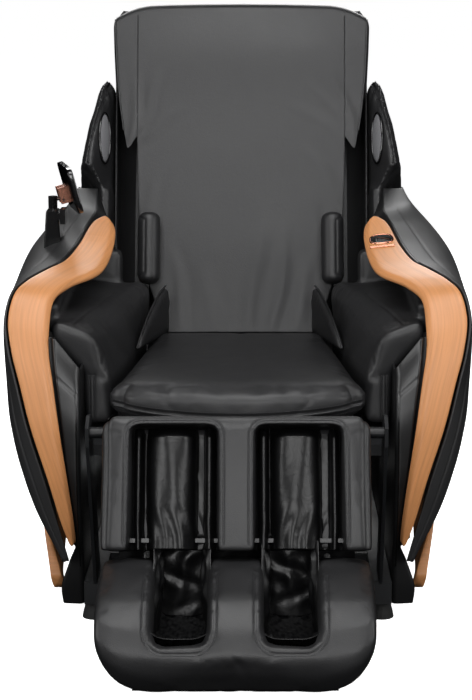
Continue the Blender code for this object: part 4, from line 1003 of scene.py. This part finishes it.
def arm_pads():
    """Forearm cushions, each with a seam down its front inner corner, and a fold-over slit by the hand on the left one.
    """
    pad = stuffed("arm_cushion_left", ["arm_pad_left"], "base", FINISH["leather"], 0.0050, 6, 0.006)
    z = np.linspace(0.352, 0.44, 60)
    seams = []
    for k, x in enumerate((0.262, 0.270)):
        points = np.stack([x + 0 * z, 0 * z - 0.3, z], -1)
        seams.append(on_skin(pad, points, (0, 1, 0)))
    y = np.linspace(-0.175, 0.09, 100)
    ridge = np.stack([0.300 - 0.05 * (y + 0.175) / 0.26, y, 0 * y + 0.4], -1)
    seams.append(on_skin(pad, ridge + (0, 0, 0.5), (0, 0, -1)))
    for path in seams:
        if len(path) > 8:
            pressed(pad, path, 0.0016, 0.0028)
    mirrored(pad, "arm_cushion_right", "base", ["arm_pad_right"])
    for k, path in enumerate(seams[:2]):
        if len(path) > 8:
            welt = tube(f"arm_welt_{k}_left", path + (0, -0.0006, 0), 0.0013, FINISH["welt"], "base")
            mirrored(welt, f"arm_welt_{k}_right", "base", [])
    a = np.linspace(0, 2 * math.pi, 61)
    along, across = 0.028 * np.cos(a), 0.0050 * np.sin(a) * np.abs(np.sin(a)) ** 0.5
    eye = np.stack([0.256 + 0.30 * along + 0.95 * across, 0 * a - 0.3, 0.532 - 0.95 * along + 0.30 * across], -1)
    path = unbroken(on_skin(pad, eye, (0, 1, 0), 0.0002))
    if len(path) > 20:
        tube("arm_slit_left", path, 0.0012, FINISH["welt"], "base")

    hip = stuffed("hip_crescent_left", ["hip_pad_left"], "base", FINISH["leather"], 0.0035, 5, 0.002)
    mirrored(hip, "hip_crescent_right", "base", ["hip_pad_right"])
    outline = through([(0.072, 0.437), (0.100, 0.462), (0.142, 0.493), (0.200, 0.523), (0.240, 0.5325)], 60)
    path = np.stack([0.1825 + 0.0065 - 0.29 * (outline[:, 0] - CHAIR_Y), outline[:, 0], outline[:, 1]], -1)
    welt = tube("hip_welt_left", path, 0.0019, FINISH["welt"], "base")
    mirrored(welt, "hip_welt_right", "base", [])


def bore(made, rings):
    """Cuts the solid between the given rings out of a piece."""
    points, (rows, columns) = np.stack(rings), (len(rings), len(rings[0]))
    mesh = bpy.data.meshes.new("bore")
    ends = [list(range(columns - 1, -1, -1)), list(range((rows - 1) * columns, rows * columns))]
    mesh.from_pydata(points.reshape(-1, 3).tolist(), [], quads(rows, columns, True).tolist() + ends)
    bm = bmesh.new()
    bm.from_mesh(mesh)
    bmesh.ops.recalc_face_normals(bm, faces=bm.faces)
    bm.to_mesh(mesh)
    bm.free()
    cutter = bpy.data.objects.new("bore", mesh)
    bpy.context.scene.collection.objects.link(cutter)
    modifier(made, "BOOLEAN", object=cutter, operation="DIFFERENCE", solver="EXACT")
    settle(made)
    bpy.data.objects.remove(cutter)


def arm_control():
    """Rose gold oval let into the left arm, with a dark dish, and a two-line bar in front of it.

    The ring is an ellipse stretched to |cos|^0.8 and |sin|^0.8, carried round a flat D section. It follows a
    quadratic surface fitted to the wood's top, and the wood is bored out below the dish."""
    low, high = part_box("control_bezel")
    centre = (Vector(low) + Vector(high)) / 2
    arm = bpy.data.objects["beech_arm_left"]
    settle(arm)
    across, along = np.linspace(-0.022, 0.022, 12), np.linspace(-0.034, 0.019, 14)
    x, y = [side.ravel() for side in np.meshgrid(centre.x - 0.006 + across, centre.y + along)]
    found = on_skin(arm, np.stack([x, y, 0 * x + 0.75], -1), (0, 0, -1))

    def terms(x, y):
        x, y = (x - centre.x) / 0.02, (y - centre.y) / 0.02
        return np.stack([x * x, x * y, y * y, x, y, 0 * x + 1], -1)

    fit = np.linalg.lstsq(terms(found[:, 0], found[:, 1]), found[:, 2], rcond=None)[0]

    def on_arm(x, y, lift):
        x, y = centre.x - 0.006 + x, centre.y + y
        return np.stack([x, y, terms(x, y) @ fit + lift], -1)

    a = np.linspace(0, 2 * math.pi, 120, endpoint=False)
    cx = 0.0235 * np.sign(np.cos(a)) * np.abs(np.cos(a)) ** 0.8
    cy = 0.0180 * np.sign(np.sin(a)) * np.abs(np.sin(a)) ** 0.8
    section = [(1.00, -0.004), (1.00, 0.0018), (0.98, 0.0028), (0.94, 0.0030), (0.90, 0.0022), (0.89, 0.0010)]
    rings = [on_arm(k * cx, k * cy, h) for k, h in section]
    ring = piece("control_ring", np.stack(rings), quads(len(rings), 120, True), FINISH["rose"], "base",
                 outward=(0, 0, 1))
    walled(ring, 0.0008)
    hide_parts("control_bezel")
    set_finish(ring, "rose_gold")
    bore(arm, [on_arm(0.91 * cx, 0.91 * cy, h) for h in (0.012, -0.011)])
    dish = [on_arm(k * cx, k * cy, h) for k, h in
            ((0.905, 0.0004), (0.90, -0.004), (0.89, -0.0098), (0.50, -0.0102), (0.02, -0.0102))]
    cup = piece("control_dish", np.stack(dish), quads(len(dish), 120, True), FINISH["rubber"], "base",
                outward=(0, 0, 1))
    walled(cup, 0.0006)
    for k, y in enumerate((-0.0265, -0.0305)):
        x = np.linspace(-0.024, 0.024 - 0.001 * k, 40)
        tube(f"control_bar_{k}", on_arm(x, y + 0 * x, 0.0010), 0.0014, FINISH["rose"], "base")


def tablet():
    """Slim rounded tablet: a screen face and a back, joined by a rounded edge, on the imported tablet's own box."""
    co = coordinates(NODES["tablet"])
    centre = (co.max(0) + co.min(0)) / 2
    turn, lean = math.radians(13), math.radians(-15)
    wide = np.array([-math.sin(turn), math.cos(turn), 0.0])
    flat = np.array([math.cos(turn), math.sin(turn), 0.0])
    up = np.array([math.sin(lean) * flat[0], math.sin(lean) * flat[1], math.cos(lean)])
    thick = np.cross(wide, up)
    if thick @ flat < 0:
        thick = -thick
    half = [np.abs((co - centre) @ axis).max() for axis in (wide, up, thick)]
    a = np.linspace(0, 2 * math.pi, 96, endpoint=False)
    cx, cy = np.sign(np.cos(a)) * np.abs(np.cos(a)) ** 0.22, np.sign(np.sin(a)) * np.abs(np.sin(a)) ** 0.30
    section = [(0.985, -1.0), (0.996, -0.8), (1.0, -0.4), (1.0, 0.4), (0.996, 0.8), (0.985, 1.0)]
    rings = np.stack([centre + (half[0] * k * cx)[:, None] * wide + (half[1] * k * cy)[:, None] * up
                      + half[2] * t * thick for k, t in section])
    body = closed_loft("tablet_body", rings, FINISH["gloss"], "tablet")
    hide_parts("tablet")
    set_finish(body, "shell_plastic")
    screen = np.stack([centre + (half[0] * k * 0.93 * cx)[:, None] * wide + (half[1] * k * 0.90 * cy)[:, None] * up
                       + (half[2] + lift) * thick for k, lift in ((1.0, -0.0004), (0.995, 0.0003), (0.5, 0.0004))])
    closed_loft("tablet_screen", screen, FINISH["glass"], "tablet")


# ---------------------------------------------------------------- calf unit and foot unit

def arch(low_x, high_x, high_z, low_z, radius, count=160):
    """A flat path up one side, round two corners and down the other, as (x, z)."""
    a = np.linspace(0, math.pi / 2, 14)
    left = np.stack([low_x + radius - radius * np.cos(a), high_z - radius + radius * np.sin(a)], -1)
    right = np.stack([high_x - radius + radius * np.sin(a), high_z - radius + radius * np.cos(a)], -1)
    path = np.concatenate([[(low_x, low_z)], left, right, [(high_x, low_z)]])
    run = np.concatenate([[0], np.cumsum(np.linalg.norm(np.diff(path, axis=0), axis=1))])
    at = np.linspace(0, run[-1], count)
    return np.stack([np.interp(at, run, path[:, k]) for k in range(2)], -1)


def double_seam(made, name, paths, direction, body, mirror):
    """Presses one channel between two rows of stitches, each cast on to the skin, for one side and its mirror."""
    for label, side in SIDES if mirror else SIDES[:1]:
        cast = [on_skin(made, p * (side, 1, 1), direction, 0.0002) for p in paths]
        cast = [unbroken(c) for c in cast]
        pressed(made, cast[0], 0.0020, 0.0024)
        for k, path in enumerate(cast[1:]):
            stitched(f"{name}_{k}_{label}", path - np.array(Vector(direction).normalized()) * 0.0002, body,
                     FINISH["thread"])


def calf_unit():
    """Three padded bars with a channel between each two, double-stitched round each channel's mouth."""
    def shape(p):
        own = upright(LEG_AT, p)
        own[:, 0] += np.sign(own[:, 0]) * 0.0055 * np.clip((np.abs(own[:, 0]) - 0.186) / 0.03, 0, 1)
        own[:, 2] -= 0.010 * np.clip((-0.165 - own[:, 2]) / 0.03, 0, 1)
        own = rounded_off(own, 0, 2, (0.2285, 0.0230, 1), 0.026)
        own = rounded_off(own, 0, 1, (0.2290, -0.0890, -1), 0.020)
        return leaned(LEG_AT, own[:, 0], own[:, 1], own[:, 2])

    pad = stuffed("calf_cushion", ["calf_pad"], "leg", FINISH["leather"], 0.0045, 5, 0.003, shape)
    slimmed("calf_shell", "calf_housing", "leg", FINISH["panel"], (0.950, 0.84, 0.90), "shell_plastic")
    paths = []
    for grow in (0.0065, 0.0042, 0.0090):
        xz = arch(0.030 - grow, 0.182 + grow, 0.008 + grow, -0.196, 0.020 + grow)
        paths.append(leaned(LEG_AT, xz[:, 0], -0.10 + 0 * xz[:, 0], xz[:, 1]))
    double_seam(pad, "calf_stitch", paths, (0, COS, -SIN), "leg", True)
    u = np.linspace(0, 1, 90)[None]
    z = np.linspace(-0.204, 0.003, 110)[:, None]

    def bump(middle, half, sharp=0.6):
        return np.clip(1 - ((u - middle) / half) ** 2, 0, 1) ** sharp

    for label, side in SIDES:
        sway = 0.012 * np.sin((z + 0.2) * 21 + side)
        ends = np.clip((0.004 - z) / 0.018, 0, 1) ** 0.5
        gather = 0.0022 * np.sin(38 * u + 5 * np.sin(z * 24)) * np.clip((-0.12 - z) / 0.07, 0, 1)
        soft = 0.0016 * np.sin(9 * u + 17 * z + side) + 0.0008 * np.sin(23 * u - 29 * z)
        middle = 0.50 - 0.03 * side
        deep = 0.004 + 0.056 * bump(middle + 0.5 * sway, 0.30, 0.42) + 0.044 * bump(0.085, 0.070) \
            + 0.036 * bump(0.925, 0.060)
        front = -0.013 - (deep + soft + gather) * (0.35 + 0.65 * ends)
        x = 0.0335 + 0.145 * u + 0 * z
        face = np.stack([x, front, z + 0 * u], -1)
        rear = np.stack([x[:, ::-1], -0.0125 + 0 * front, z + 0 * u], -1)[:, ::6]
        ring = np.concatenate([face, rear], 1)
        liner = closed_loft(f"calf_liner_{label}", leaned(LEG_AT, side * ring[..., 0], ring[..., 1], ring[..., 2]),
                            FINISH["liner"], "leg")
        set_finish(liner, "leather")


def foot_unit():
    """Foot cushion with a boot for each foot, its lining gathered down from the calf channels, and the seams."""
    def shape(p):
        low = np.clip((0.060 - p[:, 2]) / 0.040, 0, 1) * np.clip((-0.56 - p[:, 1]) / 0.05, 0, 1)
        return p - np.stack([0 * low, 0 * low, 0.009 * low * (1 - 0.5 * (p[:, 0] / 0.2285) ** 2)], -1)

    pad = stuffed("foot_cushion", ["foot_pad"], "foot", FINISH["leather"], 0.0050, 6, 0.006, shape)
    paths = []
    for grow in (0.0085, 0.0062, 0.0108):
        xz = arch(0.041 - grow, 0.141 + grow, -(0.094 - grow), -0.181, 0.026 + grow)
        paths.append(np.stack([xz[:, 0], -0.60 + 0 * xz[:, 0], -xz[:, 1]], -1))
    double_seam(pad, "foot_stitch", paths, (0, 1, 0), "foot", True)
    for label, side in SIDES:
        boot_lining(label, side)
    x, t = np.linspace(-0.205, 0.205, 160)[None], np.linspace(0, 1, 14)[:, None]
    wave = 0.0035 * np.sin(70 * x) + 0.002 * np.sin(151 * x + 3 * t)
    curtain = piece("calf_curtain", np.stack([x + 0 * t, -0.392 + 0.006 * t + wave * t, 0.187 - 0.040 * t + 0 * x], -1),
                    quads(14, 160), FINISH["liner"], "leg", outward=(0, -1, 0))
    walled(curtain, 0.0010, even=False)
    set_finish(curtain, "leather")


def boot_lining(label, side):
    """Walls: a U in plan, forward along both sides of the boot, gathered in pleats. Sole: a crumpled tongue."""
    t = np.linspace(0, 1, 120)[None]
    z = np.linspace(0.070, 0.214, 60)[:, None]
    rise = (z - 0.070) / 0.144
    low_x, high_x = 0.0430, 0.1390
    front_y = -0.612 + 0.150 * rise ** 0.8
    rear_y = -0.428 + 0.004 * rise
    across = np.clip((t - 0.36) / 0.28, 0, 1)
    eased = across * across * (3 - 2 * across)
    x = low_x + (high_x - low_x) * eased
    reach = np.where(t < 0.36, 1 - t / 0.36, np.where(t > 0.64, (t - 0.64) / 0.36, 0.0))
    y = rear_y + (front_y - rear_y) * reach
    pleat = 0.0045 * np.sin(34 * t + 3 * np.sin(9 * rise + side)) + 0.0028 * np.sin(71 * t + 7 * rise)
    inward = np.where(t < 0.5, 1.0, -1.0) * np.abs(1 - 2 * across)
    billow = (0.007 + 0.012 * np.sin(math.pi * rise) * reach) + pleat * (0.4 + 0.6 * rise)
    x = x + inward * billow * (1 - reach ** 5)
    y = y - (1 - np.abs(1 - 2 * across)) * np.abs(billow) * (across > 0) * (across < 1)
    walls = piece(f"boot_lining_{label}", np.stack([side * x, y, z + 0 * t], -1), quads(60, 120), FINISH["liner"],
                  None, outward=(0, -1, 0))
    walled(walls, 0.0010, even=False)
    settle(walls)
    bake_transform(walls)
    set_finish(walls, "leather")

    u, v = np.linspace(0, 1, 70)[None], np.linspace(0, 1, 90)[:, None]
    x = 0.0455 + 0.0910 * u
    y = -0.6275 + 0.1935 * v + 0 * u
    crumple = 0.0042 * np.sin(9 * u + 14 * v + 2 * np.sin(11 * v + 5 * u)) + 0.0028 * np.sin(23 * u - 31 * v + side) \
        + 0.0016 * np.sin(47 * u + 41 * v)
    crumple = crumple * np.clip(v / 0.10, 0, 1)
    lip = 0.028 * np.exp(-(v / 0.16) ** 2)
    z = 0.0690 + lip + (crumple + 0.004) * (0.35 + 0.65 * np.exp(-((v - 0.12) / 0.25) ** 2)) \
        + 0.010 * (2 * u - 1) ** 4
    sole = piece(f"boot_sole_{label}", np.stack([side * x + 0 * v, y, z], -1), quads(90, 70), FINISH["liner"], "foot",
                 outward=(0, 0, 1))
    walled(sole, 0.0010, even=False)
    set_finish(sole, "leather")


# ---------------------------------------------------------------- stage

def softbox(name, at, towards, size, power):
    """A rectangular studio light, turned to face a point."""
    light = bpy.data.lights.new(name, "AREA")
    light.shape = "RECTANGLE"
    light.size, light.size_y = size
    light.energy = power
    made = bpy.data.objects.new(name, light)
    bpy.context.scene.collection.objects.link(made)
    made.location = at
    made.rotation_euler = (Vector(towards) - Vector(at)).to_track_quat("-Z", "Y").to_euler()


def stage():
    """White floor, an even white surround that only the camera sees, softboxes above, in front, behind and at each
    side, and the camera: a long lens 3.5 m in front, tilted down, with a small shift to centre the chair."""
    scene = bpy.context.scene
    look = scene.chair_studio
    world = bpy.data.worlds.new("studio")
    world.use_nodes = True
    scene.world = world
    back = world.node_tree.nodes["Background"]
    back.inputs["Color"].default_value = (1, 1, 1, 1)
    back.inputs["Strength"].default_value = 1.0
    world.cycles_visibility.diffuse = False
    world.cycles_visibility.glossy = False
    mesh = bpy.data.meshes.new("floor")
    mesh.from_pydata([(-40, -40, 0), (40, -40, 0), (40, 40, 0), (-40, 40, 0)], [], [(0, 1, 2, 3)])
    floor = bpy.data.objects.new("floor", mesh)
    scene.collection.objects.link(floor)
    sweep, _, shader = material("white_sweep", "#fdfdfd", 0.9)
    shader.inputs["Emission Color"].default_value = (1, 1, 1, 1)
    shader.inputs["Emission Strength"].default_value = look.floor_glow
    mesh.materials.append(sweep)
    floor.visible_diffuse = False
    floor.visible_glossy = False
    softbox("softbox_top", (0.0, -1.5, 3.4), (0, 0.0, 0.7), (2.6, 1.5), look.top_power)
    softbox("softbox_left", (3.0, -1.6, 1.5), (0, 0, 0.6), (0.9, 2.0), look.side_power)
    softbox("softbox_right", (-3.0, -1.6, 1.5), (0, 0, 0.6), (0.9, 2.0), look.side_power)
    softbox("softbox_front", (0.0, -4.4, 1.7), (0, 0, 0.5), (3.0, 1.6), look.front_power)
    softbox("softbox_rear", (0.0, 3.4, 2.6), (0, 0.2, 0.6), (3.0, 1.5), look.rear_power)
    lens = bpy.data.cameras.new("camera")
    lens.sensor_fit = "VERTICAL"
    lens.sensor_height = 36
    lens.lens = 96.737
    lens.shift_x = -0.0348
    lens.shift_y = -0.10
    camera = bpy.data.objects.new("camera", lens)
    scene.collection.objects.link(camera)
    camera.location = (0.0407, -3.531, 1.171)
    camera.rotation_euler = (math.radians(90 - 9.43), 0, 0)
    scene.camera = camera
    scene.view_settings.view_transform = "Standard"


# ---------------------------------------------------------------- add-on

class ChairSizes(bpy.types.PropertyGroup):
    """Sizes of the trim"""
    beech_thickness: bpy.props.FloatProperty(
        name="Beech thickness", description="Thickness of the bent arms", default=0.015, min=0.008, max=0.022,
        unit="LENGTH")
    shell_thickness: bpy.props.FloatProperty(
        name="Shell thickness", description="Wall of the outer shells", default=0.0038, min=0.001, max=0.006,
        unit="LENGTH")
    welt_radius: bpy.props.FloatProperty(
        name="Welt radius", description="Radius of the piping along the seat's front", default=0.0022, min=0.001,
        max=0.004, unit="LENGTH")
    stitch_pitch: bpy.props.FloatProperty(
        name="Stitch pitch", description="Distance from one stitch to the next", default=0.0044, min=0.002,
        max=0.012, unit="LENGTH")
    stitch_length: bpy.props.FloatProperty(
        name="Stitch length", description="Thread that shows in each stitch", default=0.0030, min=0.001, max=0.010,
        unit="LENGTH")


class ChairColours(bpy.types.PropertyGroup):
    """Colours of the materials"""
    leather: bpy.props.FloatVectorProperty(
        name="Cushions", description="Leather of the seat, arm, calf and foot cushions", subtype="COLOR",
        default=linear("#1b1b1c")[:3], min=0, max=1)
    cover: bpy.props.FloatVectorProperty(
        name="Back cover", description="Leather of the loose back cover and head cushion", subtype="COLOR",
        default=linear("#1e1e1f")[:3], min=0, max=1)
    shell: bpy.props.FloatVectorProperty(
        name="Shells", description="Satin plastic of the outer shells", subtype="COLOR",
        default=linear("#1f1f20")[:3], min=0, max=1)
    beech: bpy.props.FloatVectorProperty(
        name="Beech", description="Middle tone of the lacquered beech", subtype="COLOR",
        default=linear("#c18452")[:3], min=0, max=1)
    rose_gold: bpy.props.FloatVectorProperty(
        name="Rose gold", description="Plating of the control ring and tablet bracket", subtype="COLOR",
        default=linear("#c98d76")[:3], min=0, max=1)
    thread: bpy.props.FloatVectorProperty(
        name="Thread", description="Thread of the double seams", subtype="COLOR",
        default=linear("#38383a")[:3], min=0, max=1)


class ChairStudio(bpy.types.PropertyGroup):
    """Light of the stage"""
    floor_glow: bpy.props.FloatProperty(
        name="Floor glow", description="Light given off by the white floor", default=1.0, min=0, max=2)
    top_power: bpy.props.FloatProperty(
        name="Top softbox", description="Power of the softbox high in front", default=88.0, min=0, unit="POWER")
    side_power: bpy.props.FloatProperty(
        name="Side softboxes", description="Power of each side softbox", default=42.0, min=0, unit="POWER")
    front_power: bpy.props.FloatProperty(
        name="Front softbox", description="Power of the wide softbox over the camera", default=95.0, min=0,
        unit="POWER")
    rear_power: bpy.props.FloatProperty(
        name="Rear softbox", description="Power of the softbox behind", default=110.0, min=0, unit="POWER")


class CHAIR_OT_finishes(bpy.types.Operator):
    """Makes every material and gives the frame parts that stay theirs"""
    bl_idname = "chair.finishes"
    bl_label = "Finishes"

    def execute(self, context):
        FINISH.update(finishes())
        dress_frame()
        return {"FINISHED"}


class CHAIR_OT_back_cover(bpy.types.Operator):
    """Loose leather cover over the back pad, with its folds and side gussets"""
    bl_idname = "chair.back_cover"
    bl_label = "Back cover"

    def execute(self, context):
        back_cover()
        return {"FINISHED"}


class CHAIR_OT_head_cushion(bpy.types.Operator):
    """Pillow under the top of the back cover"""
    bl_idname = "chair.head_cushion"
    bl_label = "Head cushion"

    def execute(self, context):
        head_cushion()
        return {"FINISHED"}


class CHAIR_OT_wings(bpy.types.Operator):
    """Shoulder bolsters with their channels and speakers"""
    bl_idname = "chair.wings"
    bl_label = "Shoulder wings"

    def execute(self, context):
        wings()
        return {"FINISHED"}


class CHAIR_OT_waist_rolls(bpy.types.Operator):
    """Narrow roll at each side of the waist"""
    bl_idname = "chair.waist_rolls"
    bl_label = "Waist rolls"

    def execute(self, context):
        waist_pads()
        return {"FINISHED"}


class CHAIR_OT_back_shell(bpy.types.Operator):
    """Moulded cover behind the backrest, with its vents"""
    bl_idname = "chair.back_shell"
    bl_label = "Rear cover"

    def execute(self, context):
        back_shell()
        return {"FINISHED"}


class CHAIR_OT_side_shells(bpy.types.Operator):
    """Satin outer shell of each side"""
    bl_idname = "chair.side_shells"
    bl_label = "Side shells"

    def execute(self, context):
        side_shells()
        return {"FINISHED"}


class CHAIR_OT_beech_arms(bpy.types.Operator):
    """Bent beech arm of each side"""
    bl_idname = "chair.beech_arms"
    bl_label = "Beech arms"

    def execute(self, context):
        wooden_arms()
        return {"FINISHED"}


class CHAIR_OT_beech_sweeps(bpy.types.Operator):
    """Leaf of beech under each side shell"""
    bl_idname = "chair.beech_sweeps"
    bl_label = "Beech sweeps"

    def execute(self, context):
        wood_sweeps()
        return {"FINISHED"}


class CHAIR_OT_side_housings(bpy.types.Operator):
    """Inner housing of each side, with its trim line"""
    bl_idname = "chair.side_housings"
    bl_label = "Side housings"

    def execute(self, context):
        inner_panels()
        return {"FINISHED"}


class CHAIR_OT_seat(bpy.types.Operator):
    """Seat cushion with its welted front, on its tray"""
    bl_idname = "chair.seat"
    bl_label = "Seat"

    def execute(self, context):
        seat()
        return {"FINISHED"}


class CHAIR_OT_arm_cushions(bpy.types.Operator):
    """Forearm cushions and hip crescents"""
    bl_idname = "chair.arm_cushions"
    bl_label = "Arm cushions"

    def execute(self, context):
        arm_pads()
        return {"FINISHED"}


class CHAIR_OT_arm_control(bpy.types.Operator):
    """Rose gold ring, dish and bars let into the left arm"""
    bl_idname = "chair.arm_control"
    bl_label = "Arm control"

    def execute(self, context):
        arm_control()
        return {"FINISHED"}


class CHAIR_OT_tablet(bpy.types.Operator):
    """Slim tablet on its bracket"""
    bl_idname = "chair.tablet"
    bl_label = "Tablet"

    def execute(self, context):
        tablet()
        return {"FINISHED"}


class CHAIR_OT_calf_unit(bpy.types.Operator):
    """Calf cushion, its seams and the linings of its channels"""
    bl_idname = "chair.calf_unit"
    bl_label = "Calf unit"

    def execute(self, context):
        calf_unit()
        return {"FINISHED"}


class CHAIR_OT_foot_unit(bpy.types.Operator):
    """Foot cushion, its seams, boots and curtain"""
    bl_idname = "chair.foot_unit"
    bl_label = "Foot unit"

    def execute(self, context):
        foot_unit()
        return {"FINISHED"}


class CHAIR_OT_stage(bpy.types.Operator):
    """Floor, surround, softboxes and camera"""
    bl_idname = "chair.stage"
    bl_label = "Stage"

    def execute(self, context):
        stage()
        return {"FINISHED"}


class CHAIR_PT_panel(bpy.types.Panel):
    """Sizes, colours and one button for each group of pieces"""
    bl_label = "Massage chair"
    bl_space_type = "VIEW_3D"
    bl_region_type = "UI"
    bl_category = "Chair"

    def draw(self, context):
        scene = context.scene
        for group in (scene.chair_sizes, scene.chair_colours, scene.chair_studio):
            box = self.layout.box()
            for key in group.__annotations__:
                box.prop(group, key)
        for operator in OPERATORS:
            self.layout.operator(operator.bl_idname)


OPERATORS = (
    CHAIR_OT_finishes, CHAIR_OT_back_cover, CHAIR_OT_head_cushion, CHAIR_OT_wings, CHAIR_OT_waist_rolls,
    CHAIR_OT_back_shell, CHAIR_OT_side_shells, CHAIR_OT_beech_arms, CHAIR_OT_beech_sweeps, CHAIR_OT_side_housings,
    CHAIR_OT_seat, CHAIR_OT_arm_cushions, CHAIR_OT_arm_control, CHAIR_OT_tablet, CHAIR_OT_calf_unit,
    CHAIR_OT_foot_unit, CHAIR_OT_stage,
)
GROUPS = {"chair_sizes": ChairSizes, "chair_colours": ChairColours, "chair_studio": ChairStudio}


def register():
    for kind in (*GROUPS.values(), *OPERATORS, CHAIR_PT_panel):
        bpy.utils.register_class(kind)
    for name, group in GROUPS.items():
        setattr(bpy.types.Scene, name, bpy.props.PointerProperty(type=group))


def unregister():
    for name in GROUPS:
        delattr(bpy.types.Scene, name)
    for kind in (CHAIR_PT_panel, *reversed(OPERATORS), *GROUPS.values()):
        bpy.utils.unregister_class(kind)


def main():
    register()
    for operator in OPERATORS:
        getattr(bpy.ops.chair, operator.bl_idname.split(".")[1])()


if __name__ == "__main__":
    main()
